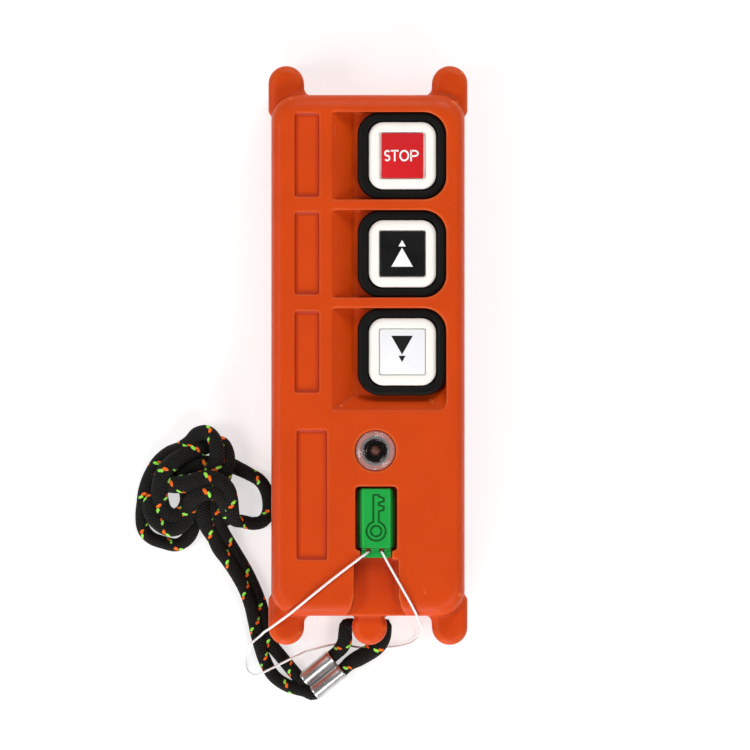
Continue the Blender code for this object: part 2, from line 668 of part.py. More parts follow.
# ================================================================ buttons
def boot(key, y):
    """The rubber boot: a visible ring on the pocket floor, a neck through the shell and a skirt round the stem."""
    def square(half, radius):
        return rounded_rect(BUTTON_X, y, half, half, radius, 3)

    stem = circle(BUTTON_X, y, 3.1, 12)
    outer = [
        (square(10.6, 4.6), 18.7), (square(10.6, 4.6), CAVITY_TOP - GAP), (square(9.05, 3.9), CAVITY_TOP - GAP),
        (square(9.05, 3.9), POCKET_FLOOR + GAP), (square(RING_HALF, RING_R), POCKET_FLOOR + GAP),
        (square(RING_HALF, RING_R), 24.2), (square(RING_HALF - 0.25, RING_R - 0.25), 24.75),
        (square(RING_HALF - 0.8, RING_R - 0.8), 25.0), (square(9.2, 4.2), 25.0), (square(8.8, 3.9), 24.7),
        (square(8.8, 3.9), 19.4),
    ]
    return ring_loft(f"{key}_boot", outer + [(aligned(stem, square(8.8, 3.9)), 19.4),
                                             (aligned(stem, square(8.8, 3.9)), 18.7)], "black_rubber")


def aligned(points, pattern):
    """A circle's points turned to start where the pattern does, so that bands between them don't twist."""
    cx = sum(x for x, _ in pattern) / len(pattern)
    cy = sum(y for _, y in pattern) / len(pattern)
    radius = math.dist(points[0], (sum(x for x, _ in points) / len(points), cy))
    return [(cx + radius * math.cos(math.atan2(y - cy, x - cx)), cy + radius * math.sin(math.atan2(y - cy, x - cx)))
            for x, y in pattern]


def button(key, y, tile_colour):
    """One push button: cap with a crowned edge and a stem, inlaid tile, switch, plunger and return spring."""
    def square(half, radius):
        return rounded_rect(BUTTON_X, y, half, half, radius, 3)

    cap = loft(f"{key}_cap", [
        (square(CAP_HALF, CAP_R), CAP_BOTTOM), (square(CAP_HALF, CAP_R), 24.6),
        (square(CAP_HALF - 0.15, CAP_R - 0.1), 25.2), (square(CAP_HALF - 0.55, CAP_R - 0.4), 25.7),
        (square(CAP_HALF - 1.2, CAP_R - 0.9), FACE_Z)], "white_plastic")
    join(cap, cylinder(f"add_{key}_stem", (BUTTON_X, y), 2.4, STEM_BOTTOM, CAP_BOTTOM + 0.5, steps=12))
    cut(cap, prism(f"cut_{key}_tile", square(TILE_HALF + 0.15, 0.6), 25.0, FACE_Z + 1))
    tile = prism(f"{key}_tile", square(TILE_HALF, 0.5), 25.15, FACE_Z - 0.1, tile_colour)
    low, high = SWITCH_Z
    housing = prism(f"{key}_switch", rounded_rect(BUTTON_X, y, SWITCH_HALF, SWITCH_HALF, 0.8, 2), low, high,
                    "chip_black")
    cut(housing, cylinder(f"cut_{key}_bore", (BUTTON_X, y), SWITCH_BORE_R, low + 0.8, 14.6, steps=20),
        cylinder(f"cut_{key}_mouth", (BUTTON_X, y), 2.1, 14, high + 1, steps=16))
    plunger = turned(f"{key}_plunger", (BUTTON_X, y),
                     [(2.85, 13.6), (2.85, 14.3), (1.9, 14.3), (1.9, 16.3), (1.5, 16.65)], "white_plastic", 16)
    set_origin(BUTTON_X, y, cap, tile, plunger)
    points = [(BUTTON_X + px, y + py, 10.2 + pz) for px, py, pz in coil_points((2.3, 2.3), 3.05, 3.5, 10)]
    tube(f"{key}_spring", points, 0.22, "steel", 0)


# ================================================================ key
def magnetic_key():
    x = KEY_X
    low, high = KEY_Y

    def block(half, in_by, radius):
        return rounded_box(x - half, x + half, low + in_by, high - in_by, radius, 3)

    body = loft("magnetic_key", [
        (block(KEY_BASE_HALF, 0, 0.8), KEY_FLOOR + GAP), (block(KEY_BASE_HALF, 0, 0.8), 23.2),
        (block(4.25, 0, 0.8), 23.5), (block(4.25, 0, 0.8), 24.3), (block(KEY_PANEL_HALF, 0.05, 0.7), 24.5),
        (block(KEY_PANEL_HALF, 0.05, 0.7), 25.3), (block(KEY_PANEL_HALF - 0.35, 0.4, 0.5), 25.65)],
        "green_plastic")
    join(body, prism("add_key_tab", rounded_box(x - KEY_TAB_HALF, x + KEY_TAB_HALF, KEY_TAB_Y, low + 1, 0.4, 2),
                     *KEY_TAB_Z))
    for number, hole_x in enumerate(KEY_HOLES, 1):
        cut(body, cylinder(f"cut_key_hole_{number}", (hole_x, KEY_HOLE_Y), KEY_HOLE_R, 21, 25.0, steps=12))
    cut(body, cylinder("cut_magnet", MAGNET, 3.1, KEY_FLOOR - 1, 24.3, steps=16),
        cylinder("cut_key_plug", MAGNET, 3.7, KEY_FLOOR - 1, 22.6, steps=16))
    magnet = cylinder("key_magnet", MAGNET, 2.9, 22.75, 24.15, "nickel", 16)
    plug = cylinder("key_plug", MAGNET, 3.45, 21.85, 22.5, "green_plastic", 16)
    set_origin(*MAGNET, body, magnet, plug)


# ================================================================ lanyard
# Routes are chosen by hand: x, y, z of the cord's middle.
BIGHT_ROUTE = (
    (-8.8, -77.05, 2.1), (-8.0, -75.9, 2.2), (-7.0, -73.8, 3.1), (-6.2, -71.5, 4.3), (-4.5, -69.9, 4.9),
    (-2.4, -69.6, 4.9), (0.4, -69.6, 4.9), (3.2, -69.6, 4.9), (5.1, -70.3, 4.8), (5.6, -72.4, 4.2),
    (4.6, -74.7, 3.3), (2.6, -76.3, 2.7), (-0.3, -77.5, 2.3), (-3.0, -78.6, 2.1), (-5.2, -79.7, 2.1),
    (-6.06, -80.43, 2.1),
)
OUTER_ROUTE = (
    (-14.68, -87.42, 2.1), (-16.0, -88.1, 2.0), (-18.6, -87.9, 1.85), (-21.6, -86.5, 1.8), (-24.0, -84.0, 1.75),
    (-26.4, -80.9, 1.75), (-28.2, -77.3, 1.75), (-29.5, -73.0, 1.75), (-30.2, -68.3, 1.75), (-30.9, -63.6, 1.75),
    (-32.1, -59.2, 1.75), (-33.9, -55.0, 1.75), (-36.4, -51.2, 1.75), (-39.4, -47.3, 1.85),
)
INNER_ROUTE = (
    (-17.42, -84.04, 2.1), (-18.65, -84.0, 1.95), (-20.35, -82.3, 1.8), (-22.2, -79.7, 1.75), (-24.3, -76.1, 1.75),
    (-25.7, -71.9, 1.75), (-26.6, -67.4, 1.75), (-27.2, -63.0, 1.75), (-28.5, -58.4, 1.75), (-30.2, -53.9, 1.75),
    (-32.4, -49.9, 1.75), (-34.8, -46.6, 1.75), (-36.0, -44.95, 1.85),
)
LOOP_ROUTE = (
    (-33.0, -27.5, 3.6), (-30.2, -29.4, 2.6), (-28.0, -31.6, 1.9), (-26.6, -34.4, 1.75), (-26.2, -37.4, 1.75),
    (-27.2, -40.4, 1.75), (-29.4, -42.2, 1.8), (-33.4, -42.5, 2.1),
)
KNOT_OUTLINE = (
    (-46.6, -22.1), (-43.9, -19.3), (-41.1, -18.2), (-37.8, -19.3), (-35.2, -22.3), (-34.4, -25.9), (-34.2, -30.0),
    (-33.9, -34.8), (-33.7, -39.8), (-34.8, -43.6), (-38.2, -45.9), (-42.8, -47.2), (-45.5, -48.9), (-48.9, -50.0),
    (-52.2, -49.1), (-56.3, -47.8), (-58.8, -44.5), (-59.1, -39.8), (-58.0, -33.4), (-55.5, -28.7), (-51.6, -24.8),
)
TETHER_LEFT = (
    (2.0, -75.0, 0.45), (-0.6, -75.2, 0.4), (-3.6, -74.9, 0.4), (-6.8, -74.2, 0.4), (-10.2, -74.6, 0.4),
    (-13.8, -75.6, 0.6), (-16.6, -76.5, 1.4), (-18.2, -77.13, 3.2), (-19.73, -77.88, 4.1), (-21.53, -78.77, 4.3),
    (-23.59, -79.8, 4.3), (-25.64, -80.81, 4.5), (-27.18, -81.59, 4.4), (-28.48, -82.14, 3.4),
    (-30.05, -81.94, 1.4), (-31.22, -80.68, 0.6), (-31.6, -78.36, 0.8), (-31.32, -76.25, 2.4),
    (-30.66, -74.66, 4.2), (-29.61, -73.6, 5.3), (-28.2, -72.44, 5.6), (-27.4, -71.7, 10.5),
    (-26.5, -70.7, 18.4), (-24.9, -69.6, 21.2), (-22.6, -67.9, 22.7), (-20.6, -66.4, 24.6), (-18.6, -64.8, 26.1),
    (-14.0, -61.0, 26.7), (-9.0, -57.0, 26.65), (-5.0, -53.9, 26.65), (-2.6, -52.1, 26.6), (-1.6, -51.3, 26.45),
    (-0.7, -50.75, 25.8),
)
TETHER_BIGHT = (
    (-0.2, -50.35, 24.9), (0.1, -50.05, 24.4), (0.1, -50.0, 23.6), (0.1, -50.0, 22.9), (0.6, -50.0, 22.35),
    (1.8, -50.0, 22.2), (3.0, -50.0, 22.35), (3.5, -50.0, 22.9), (3.5, -50.0, 23.6), (3.5, -50.05, 24.4),
    (3.75, -50.5, 24.9),
)
TETHER_RIGHT = (
    (4.5, -51.9, 25.5), (6.0, -54.6, 26.3), (7.6, -57.4, 26.55), (9.6, -60.9, 26.7), (11.2, -63.8, 26.5),
    (12.5, -66.4, 24.8), (13.3, -68.4, 19.5), (13.7, -69.6, 12.0), (13.7, -71.2, 5.0), (12.8, -72.8, 1.4),
    (10.8, -74.1, 0.5), (8.2, -74.8, 0.4), (5.6, -75.1, 0.4), (3.2, -75.15, 0.45),
)


def lanyard():
    for name, route in (("lanyard_bight", BIGHT_ROUTE), ("lanyard_strand_outer", OUTER_ROUTE),
                        ("lanyard_strand_inner", INNER_ROUTE), ("lanyard_loop", LOOP_ROUTE)):
        tube(name, smooth_route(route, 2), CORD_R, "cord_black")
    rim = list(reversed(KNOT_OUTLINE)) if signed_area(KNOT_OUTLINE) < 0 else list(KNOT_OUTLINE)
    loft("lanyard_knot", [(inset(rim, 2.0), 0.1), (inset(rim, 0.7), 0.7), (rim, 2.0), (rim, 5.8),
                          (inset(rim, 0.9), 7.4), (inset(rim, 3.0), 8.4)], "cord_black")
    ferrule()
    tube("key_tether", TETHER_LEFT + TETHER_BIGHT + TETHER_RIGHT, TETHER_R, "tether_white", 1)


def signed_area(outline):
    return sum(a[0] * b[1] - b[0] * a[1] for a, b in zip(outline, outline[1:] + outline[:1])) / 2


def ferrule():
    """Double-barrel crimp ferrule: two bores side by side."""
    half = FERRULE_PITCH / 2
    waist = math.degrees(math.acos(min(1.0, half / FERRULE_R)))
    outline = (arc(half, 0, FERRULE_R, -180 + waist + 24, 180 - waist - 24, 10)
               + arc(-half, 0, FERRULE_R, waist + 24, 360 - waist - 24, 10))
    length = FERRULE_LENGTH
    body = loft("ferrule", [(inset(outline, 0.25), 0), (outline, 0.3), (outline, length - 0.3),
                            (inset(outline, 0.25), length)], "nickel")
    for number, x in enumerate((-half, half), 1):
        bore = cylinder(f"cut_ferrule_{number}", (x, 0), 1.5, -1, length + 1, steps=12)
        cut(body, place_ferrule(bore))
    return place_ferrule(body)


def place_ferrule(obj):
    """Lays a piece made along +Z flat on the ground, along the ferrule's axis."""
    along = Vector((math.cos(FERRULE_ANGLE), math.sin(FERRULE_ANGLE), 0))
    across = Vector((-along.y, along.x, 0))
    start = Vector((*FERRULE_CENTRE, FERRULE_Z)) - along * FERRULE_LENGTH / 2
    frame = Matrix((across, Vector((0, 0, 1)), along)).transposed().to_4x4()
    if frame.determinant() < 0:
        frame = Matrix((-across, Vector((0, 0, 1)), along)).transposed().to_4x4()
    obj.data.transform(Matrix.Translation(start * MM) @ frame)
    return obj


def build():
    clear_scene()
    front_shell()
    rear_shell()
    seals()
    battery_cover()
    fasteners()
    cell("cell_left", -CELL_X, True)
    cell("cell_right", CELL_X, False)
    contacts()
    main_board()
    board_parts()
    lamp()
    tiles = {"stop": "red_tile", "up": "black_tile", "down": "grey_tile"}
    for key, y in BUTTON_YS.items():
        boot(key, y)
        button(key, y, tiles[key])
    magnetic_key()
    lanyard()


build()
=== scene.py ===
"""The looks of the handheld hoist control station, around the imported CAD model.

The station lies on its back: +Z points out of the button face and +Y to the end with the stop button.
Sizes are in millimetres, and MM turns them into metres where a mesh is made.
"""

import math

import bmesh
import bpy
from mathutils import Matrix, Vector


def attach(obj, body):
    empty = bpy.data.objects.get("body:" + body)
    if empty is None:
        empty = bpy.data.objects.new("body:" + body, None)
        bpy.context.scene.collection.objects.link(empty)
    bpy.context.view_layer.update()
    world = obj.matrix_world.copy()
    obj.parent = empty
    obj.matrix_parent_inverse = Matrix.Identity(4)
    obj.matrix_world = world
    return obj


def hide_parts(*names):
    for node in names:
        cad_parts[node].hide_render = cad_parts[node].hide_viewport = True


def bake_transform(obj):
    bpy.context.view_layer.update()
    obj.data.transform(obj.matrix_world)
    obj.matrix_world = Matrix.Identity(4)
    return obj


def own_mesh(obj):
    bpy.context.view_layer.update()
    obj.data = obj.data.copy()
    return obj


MM = 0.001
GAP = 0.2
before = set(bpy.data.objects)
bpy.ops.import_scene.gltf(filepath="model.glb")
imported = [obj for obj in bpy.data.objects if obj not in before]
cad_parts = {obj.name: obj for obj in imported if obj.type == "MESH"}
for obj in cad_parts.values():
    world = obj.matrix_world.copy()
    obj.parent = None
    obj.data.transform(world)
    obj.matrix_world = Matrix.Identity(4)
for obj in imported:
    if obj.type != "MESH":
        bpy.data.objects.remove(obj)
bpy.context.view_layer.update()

# ---------------------------------------------------------------- case
BODY_X = 24.8            # half width at the parting line
BODY_Y = 66.7            # half length of the body, without the corner bumpers
DRAFT = 0.25             # how much each half narrows away from the parting line
CORNER_R = 6.5
CORNER_STEPS = 16
THICKNESS = 26.0
FACE_Z = THICKNESS
PARTING = 11.0
WALL = 2.2
BACK_ROUND = 4.0         # rounding of the back's edge
FACE_ROUND_SIDE = 2.4    # rounding of the face's long edges, seen from above
FACE_ROUND_END = 4.0     # rounding of the face's short edges, seen from above
FACE_ROUND_Z = 3.5
CAVITY_TOP = 20.2        # inner side of the pocket floors
CAVITY_TOP_THIN = 23.9   # inner side of the face where there is no pocket

BUMPER_R = 4.55
BUMPER_X = 20.9
BUMPER_Y = 69.45
BUMPER_START = 61.5      # where the bumper swells out of the side
BUMPER_FILLET = 2.4
BUMPER_Z = (4.0, 20.0)
BUMPER_ROUND = 1.9

KNOB_X = 0.4             # knob above the lanyard eye
KNOB_Y = -69.5
KNOB_R = 4.5
EYE_HALF = 2.2           # half width of the lanyard eye under the knob
EYE_END = -73.4
EYE_HOLE = (-69.6, 4.9)  # y, z
EYE_HOLE_R = 2.15

# ---------------------------------------------------------------- buttons
BUTTON_X = 8.8
BUTTON_YS = {"stop": 50.9, "up": 25.9, "down": 0.9}
RING_HALF = 11.0
RING_R = 5.8
POCKET_MARGIN = 0.15
POCKET_FLOOR = 21.5
POCKET_LEFT = -9.4       # where the thumb slope starts on the face
POCKET_SLOPE = 5.8
POCKET_END_SLOPE = 3.9   # extra slope below the last button
CAP_HALF = 8.55
CAP_R = 3.7
CAP_BOTTOM = 21.7
TILE_HALF = 5.75
STEM_BOTTOM = 16.85

BOARD_Z = (7.4, 9.0)

# ---------------------------------------------------------------- label recesses: x0, x1, y0, y1
LABELS = (
    (-18.6, -12.5, 40.5, 61.7),
    (-18.6, -12.5, 15.6, 36.5),
    (-18.6, -12.5, -9.4, 11.2),
    (-18.1, -10.5, -52.0, -19.1),
)
LABEL_DEPTH = 0.7

# ---------------------------------------------------------------- status lamp and key
LAMP = (1.9, -24.3)
LENS_R = 5.0
KEY_X = 2.1
KEY_POCKET_HALF = 5.3
KEY_POCKET_Y = (-49.8, -33.4)
KEY_FLOOR = 21.6
KEY_BASE_HALF = 4.75
KEY_PANEL_HALF = 3.68
KEY_Y = (-49.3, -33.8)
KEY_TAB_HALF = 3.75
KEY_TAB_Y = -51.6
KEY_TAB_Z = (23.0, 24.2)
KEY_HOLES = (0.1, 3.5)
KEY_HOLE_Y = -49.8
KEY_HOLE_R = 0.65
GROOVE_HALF = 5.65

# ---------------------------------------------------------------- battery bay
BAY_HALF = 15.4
BAY_Y = (-61.0, -7.7)
BAY_TOP = 16.8
BAY_WALL = 1.2
COVER_HALF = 17.5
COVER_Y = (-63.2, 1.0)
COVER_Z = (0.25, 2.1)
COVER_SCREWS = ((-11.0, -3.0), (11.0, -3.0))
TAG_X = 5.0              # where the contacts' solder tags leave the bay

SCREW_XY = (20.7, 68.8)      # inside the bumpers, outside the seal
SCREW_HEAD_R = 2.6
SCREW_SHANK_R = 1.4

# ---------------------------------------------------------------- lanyard
CORD_R = 1.7
FERRULE_CENTRE = (-11.7, -82.2)
FERRULE_ANGLE = math.radians(39.0)
FERRULE_LENGTH = 9.4
FERRULE_PITCH = 4.35
FERRULE_R = 2.08
FERRULE_Z = 2.1
TETHER_R = 0.3


# ================================================================ materials
class Look:
    """One procedural material, with short calls for its nodes."""

    def __init__(self, name, colour, roughness, metallic=0.0):
        self.material = bpy.data.materials.new(name)
        self.material.use_nodes = True
        self.tree = self.material.node_tree
        self.shader = self.tree.nodes["Principled BSDF"]
        self.colour = (*colour, 1.0)
        self.set("Base Color", self.colour)
        self.set("Roughness", roughness)
        self.set("Metallic", metallic)

    def set(self, socket, value):
        self.shader.inputs[socket].default_value = value

    def node(self, kind, inputs=(), **settings):
        """A new node. inputs are (socket name or index, value or socket) pairs."""
        made = self.tree.nodes.new("ShaderNode" + kind)
        for key, value in settings.items():
            setattr(made, key, value)
        for socket, value in inputs:
            self.put(made.inputs[socket], value)
        return made

    def put(self, socket, value):
        if isinstance(value, bpy.types.NodeSocket):
            self.tree.links.new(value, socket)
        else:
            socket.default_value = value

    def math(self, operation, a, b=0.0):
        return self.node("Math", [(0, a), (1, b)], operation=operation).outputs[0]

    def place(self):
        """The point in the object's own space, in metres."""
        return self.node("TexCoord").outputs["Object"]

    def noise(self, scale, detail=3.0, rough=0.5, stretch=None):
        vector = self.place()
        if stretch:
            vector = self.node("Mapping", [("Vector", vector), ("Scale", stretch)]).outputs[0]
        inputs = [("Vector", vector), ("Scale", scale), ("Detail", detail), ("Roughness", rough)]
        return self.node("TexNoise", inputs).outputs["Fac"]

    def ramp(self, value, low, high, low_to=0.0, high_to=1.0):
        inputs = [("Value", value), ("From Min", low), ("From Max", high),
                  ("To Min", low_to), ("To Max", high_to)]
        return self.node("MapRange", inputs).outputs[0]

    def mix(self, share, a, b):
        """Colour a where share is 0, b where it is 1."""
        made = self.node("Mix", data_type="RGBA")
        self.put(made.inputs[0], share)
        self.put(made.inputs[6], a)
        self.put(made.inputs[7], b)
        return made.outputs[2]

    def paint(self, colour):
        self.put(self.shader.inputs["Base Color"], colour)

    def rough(self, value):
        self.put(self.shader.inputs["Roughness"], value)

    def bump(self, height, depth_mm, strength=1.0):
        made = self.node("Bump", [("Height", height), ("Distance", depth_mm * MM), ("Strength", strength)])
        self.put(self.shader.inputs["Normal"], made.outputs[0])


def shade(colour, factor):
    return (*[min(1.0, c * factor) for c in colour[:3]], 1.0)


def plastic(name, colour, roughness=0.45, mottle=0.08, grain=0.02, edge=0.0, scuffs=0.0):
    """Moulded plastic: slow tone changes, fine grain, a painted highlight on convex edges, painted shade in
    concave creases, and small pale scuffs.
    """
    look = Look(name, colour, roughness)
    slow = look.noise(90.0, 2.0)
    tone = look.mix(look.ramp(slow, 0.3, 0.7), shade(colour, 1 - mottle), shade(colour, 1 + mottle))
    if edge:
        # Painted highlight: convex edges are mixed towards a paler yellow-orange.
        edge_painted_highlight = look.ramp(look.node("NewGeometry").outputs["Pointiness"], 0.505, 0.56, 0.0, edge)
        pale = tuple(c + (1 - c) * more for c, more in zip(colour, (0.6, 0.22, 0.06)))
        tone = look.mix(edge_painted_highlight, tone, (*pale, 1.0))
        # Painted shade: concave creases are darkened to half the colour.
        crease_painted_shade = look.ramp(look.node("NewGeometry").outputs["Pointiness"], 0.465, 0.492, 0.7, 0.0)
        tone = look.mix(crease_painted_shade, tone, shade(colour, 0.5))
    if scuffs:
        marks = look.noise(650.0, 4.0, 0.65, (1.0, 0.35, 1.0))
        scuffed = (*[min(1.0, c * 0.6 + 0.35) for c in colour], 1.0)
        tone = look.mix(look.ramp(marks, 0.70, 0.78, 0.0, scuffs), tone, scuffed)
    look.paint(tone)
    look.rough(look.ramp(look.noise(420.0, 3.0), 0.3, 0.7, roughness - 0.06, roughness + 0.07))
    look.bump(look.noise(5200.0, 2.0), grain, 0.5)
    look.set("Specular IOR Level", 0.18)
    return look


def recess_wall_painted_shade(look, place):
    """How much painted shade a label recess gets: most where its floor meets the wall, and nothing from 1.2
    mm inside.
    """
    depth = None
    for left, right, low, high in LABELS:
        inside = None
        for axis, near, far in (("X", left, right), ("Y", low, high)):
            at = place.outputs[axis]
            gap = look.math("MINIMUM", look.math("SUBTRACT", at, near * MM),
                            look.math("SUBTRACT", far * MM, at))
            inside = look.math("MINIMUM", inside, gap) if inside else gap
        depth = look.math("MAXIMUM", depth, inside) if depth else inside
    within = look.math("MULTIPLY", look.math("GREATER_THAN", depth, -0.1 * MM),
                       look.math("LESS_THAN", place.outputs["Z"], (FACE_Z - 0.15) * MM))
    return look.math("MULTIPLY", within, look.ramp(depth, 0.3 * MM, 1.2 * MM, 0.9, 0.0))


def housing_look(colour):
    """The orange moulding, with painted shade: darker and redder towards the key in the finger groove, and
    beside the label recesses' walls.
    """
    look = plastic("orange_housing", colour, 0.45, 0.04, 0.02, edge=0.3, scuffs=0.25)
    tone = look.shader.inputs["Base Color"].links[0].from_socket
    place = look.node("SeparateXYZ", [("Vector", look.place())])
    # Painted shade: the finger groove darkens and reddens towards the key.
    off = look.math("ABSOLUTE", look.math("SUBTRACT", place.outputs["X"], KEY_X * MM))
    inside = look.math("MULTIPLY", look.math("LESS_THAN", off, (GROOVE_HALF + 0.2) * MM),
                       look.math("LESS_THAN", place.outputs["Z"], (FACE_Z - 0.9) * MM))
    inside = look.math("MULTIPLY", inside, look.math("LESS_THAN", place.outputs["Y"], KEY_POCKET_Y[0] * MM))
    hollow_painted_shade = look.ramp(place.outputs["Y"], -66 * MM, -52 * MM, 0.0, 0.75)
    front = look.math("GREATER_THAN", place.outputs["Z"], (KEY_FLOOR - 0.3) * MM)
    share = look.math("MULTIPLY", look.math("MULTIPLY", inside, hollow_painted_shade), front)
    # Painted shade beside the label recesses' walls.
    share = look.math("MAXIMUM", share, recess_wall_painted_shade(look, place))
    # The painted shade of the groove and of the recess walls is mixed towards a darker red.
    look.paint(look.mix(share, tone, (colour[0] * 0.68, colour[1] * 0.45, colour[2], 1.0)))
    return look


def key_look(name, colour):
    """Green plastic with painted shade down the sides of the raised panel and in the lines engraved in it,
    and a painted highlight along the panel's top rim.
    """
    look = plastic(name, colour, 0.4, 0.05, 0.01)
    tone = look.shader.inputs["Base Color"].links[0].from_socket
    place = look.node("SeparateXYZ", [("Vector", look.place())])
    # Painted shade: the sides of the raised panel, below 24.42 mm, are darkened to half the colour.
    panel_side_painted_shade = look.math("LESS_THAN", place.outputs["Z"], 24.42 * MM)
    panel = look.math("GREATER_THAN", place.outputs["Y"], KEY_Y[0] * MM)
    tone = look.mix(look.math("MULTIPLY", panel_side_painted_shade, panel), tone, shade(colour, 0.5))
    off = look.math("ABSOLUTE", look.math("SUBTRACT", place.outputs["X"], KEY_X * MM), 0.0)
    middle = look.math("LESS_THAN", off, (KEY_PANEL_HALF - 0.6) * MM)
    # Painted highlight: the panel's bevelled top rim is lighter.
    rim = look.math("MULTIPLY", look.math("GREATER_THAN", off, (KEY_PANEL_HALF - 0.42) * MM),
                    look.math("GREATER_THAN", place.outputs["Z"], 24.9 * MM))
    tone = look.mix(rim, tone, shade(colour, 1.45))
    # Painted shade: the engraved lines are darkened to a third of the colour.
    hollow_painted_shade = look.math("MULTIPLY", look.ramp(place.outputs["Z"], 25.45 * MM, 25.6 * MM, 1.0, 0.0), middle)
    look.paint(look.mix(look.math("MULTIPLY", hollow_painted_shade, panel), tone, shade(colour, 0.33)))
    return look


def rubber(name, colour=(0.005, 0.005, 0.0045)):
    look = Look(name, colour, 0.5)
    dust = look.ramp(look.noise(900.0, 5.0, 0.7), 0.62, 0.8, 0.0, 0.12)
    look.paint(look.mix(dust, look.colour, (0.16, 0.15, 0.14, 1.0)))
    look.rough(look.ramp(look.noise(300.0), 0.3, 0.7, 0.46, 0.6))
    look.bump(look.noise(4200.0, 3.0), 0.03, 0.5)
    look.set("Specular IOR Level", 0.12)
    return look


def metal(name, colour, roughness=0.2, stretch=(1.0, 1.0, 1.0), grain=0.012):
    """Plated metal with drawn scratches along one direction and faint tarnish."""
    look = Look(name, colour, roughness, 1.0)
    streaks = look.noise(2600.0, 4.0, 0.6, stretch)
    look.paint(look.mix(look.ramp(look.noise(260.0), 0.45, 0.8), look.colour, shade(colour, 0.72)))
    look.rough(look.ramp(streaks, 0.3, 0.7, roughness * 0.85, roughness * 1.2))
    look.bump(streaks, grain, 0.4)
    return look


def board_look(name):
    """Solder mask over tracks, with a fine glass weave."""
    mask, track = (0.012, 0.13, 0.045, 1.0), (0.03, 0.22, 0.08, 1.0)
    look = Look(name, mask[:3], 0.4)
    scaled = look.node("Mapping", [("Vector", look.place()), ("Scale", (420.0, 300.0, 1.0))]).outputs[0]
    tracks = look.node("TexBrick", [("Vector", scaled), ("Scale", 1.0), ("Mortar Size", 0.08)])
    look.paint(look.mix(look.ramp(tracks.outputs["Fac"], 0.0, 1.0), mask, track))
    look.bump(tracks.outputs["Fac"], 0.04, 0.4)
    return look


def cell_look(name):
    """A printed sleeve in two plain bands, with a bright end."""
    look = Look(name, (0.03, 0.07, 0.3), 0.3)
    along = look.node("SeparateXYZ", [("Vector", look.place())]).outputs["Y"]
    band = look.math("GREATER_THAN", along, -0.022)
    look.paint(look.mix(band, (0.03, 0.07, 0.3, 1), (0.72, 0.55, 0.12, 1)))
    look.rough(look.ramp(look.noise(500.0), 0.3, 0.7, 0.25, 0.4))
    look.bump(look.noise(900.0, 2.0), 0.02, 0.3)
    return look


FLECK_PITCH = 2.35       # between one pair of flecks and the next, a quarter turn round the cord
FLECK_TURN = 0.26
FLECK_HALF = (0.72, 0.36)
FLECK_LEAN = math.radians(24)
FLECK_STEP = 0.46        # each fleck's distance from the pair's middle, along and round the cord
BRAID = 0.72             # length of one crossing of the braid
BRAID_STRANDS = 8


def cord_look(name):
    """Black braided sheath with pairs of orange and lime flecks. The UV's V is the length in millimetres."""
    look = Look(name, (0.006, 0.006, 0.005), 0.8)
    look.set("Specular IOR Level", 0.12)
    look.set("Sheen Weight", 0.04)
    look.set("Sheen Roughness", 0.5)
    uv = look.node("SeparateXYZ", [("Vector", look.node("TexCoord").outputs["UV"])])
    u, v = uv.outputs["X"], uv.outputs["Y"]
    cell = look.math("FLOOR", look.math("DIVIDE", v, FLECK_PITCH))
    along = look.math("SUBTRACT", v, look.math("MULTIPLY", look.math("ADD", cell, 0.5), FLECK_PITCH))
    turn = look.math("ADD", look.math("MULTIPLY", cell, FLECK_TURN), 0.12)
    shifted = look.math("ADD", look.math("SUBTRACT", u, turn), 0.5)
    round_by = look.math("SUBTRACT", look.math("FRACT", shifted), 0.5)
    across = look.math("MULTIPLY", round_by, 2 * math.pi * CORD_R)
    colour = braid_colour(look, u, v)
    for side, paint in ((-1, (1.0, 0.17, 0.015, 1.0)), (1, (0.33, 0.87, 0.1, 1.0))):
        colour = look.mix(fleck(look, along, across, side), colour, paint)
    look.paint(colour)
    return look


def braid_colour(look, u, v):
    """Two crossing sets of strands: it sets the bump, and returns the sheath's colour with painted shade
    between the strands and a painted highlight on their crests.
    """
    waves = []
    for way in (-1, 1):
        phase = look.math("ADD", look.math("DIVIDE", v, BRAID), look.math("MULTIPLY", u, way * BRAID_STRANDS))
        waves.append(look.math("SINE", look.math("MULTIPLY", phase, 2 * math.pi)))
    height = look.math("MAXIMUM", *waves)
    look.bump(height, 0.12, 0.9)
    # Painted shade and highlight: the colour follows the braid's height, darker low and lighter high.
    return look.mix(look.ramp(height, -0.2, 1.0), (0.003, 0.003, 0.0025, 1.0), (0.012, 0.012, 0.010, 1.0))


def fleck(look, along, across, side):
    """1 inside a slanted oval on this side of the pair's middle, 0 outside."""
    cos, sin = math.cos(FLECK_LEAN), math.sin(FLECK_LEAN)
    x = look.math("SUBTRACT", along, side * FLECK_STEP)
    y = look.math("SUBTRACT", across, side * FLECK_STEP * 0.8)
    p = look.math("ADD", look.math("MULTIPLY", x, cos), look.math("MULTIPLY", y, -sin))
    q = look.math("ADD", look.math("MULTIPLY", x, sin), look.math("MULTIPLY", y, cos))
    p = look.math("POWER", look.math("DIVIDE", p, FLECK_HALF[1]), 2.0)
    q = look.math("POWER", look.math("DIVIDE", q, FLECK_HALF[0]), 2.0)
    return look.ramp(look.math("ADD", p, q), 0.8, 1.2, 1.0, 0.0)


def clear(name, colour, roughness, ior=1.49, density=0.95):
    """Clear plastic with faint flow marks."""
    look = Look(name, colour, roughness)
    look.put(look.shader.inputs["Transmission Weight"], density)
    look.set("IOR", ior)
    look.rough(look.ramp(look.noise(700.0, 2.0), 0.3, 0.7, roughness, roughness + 0.08))
    look.bump(look.noise(1500.0, 2.0), 0.01, 0.3)
    return look


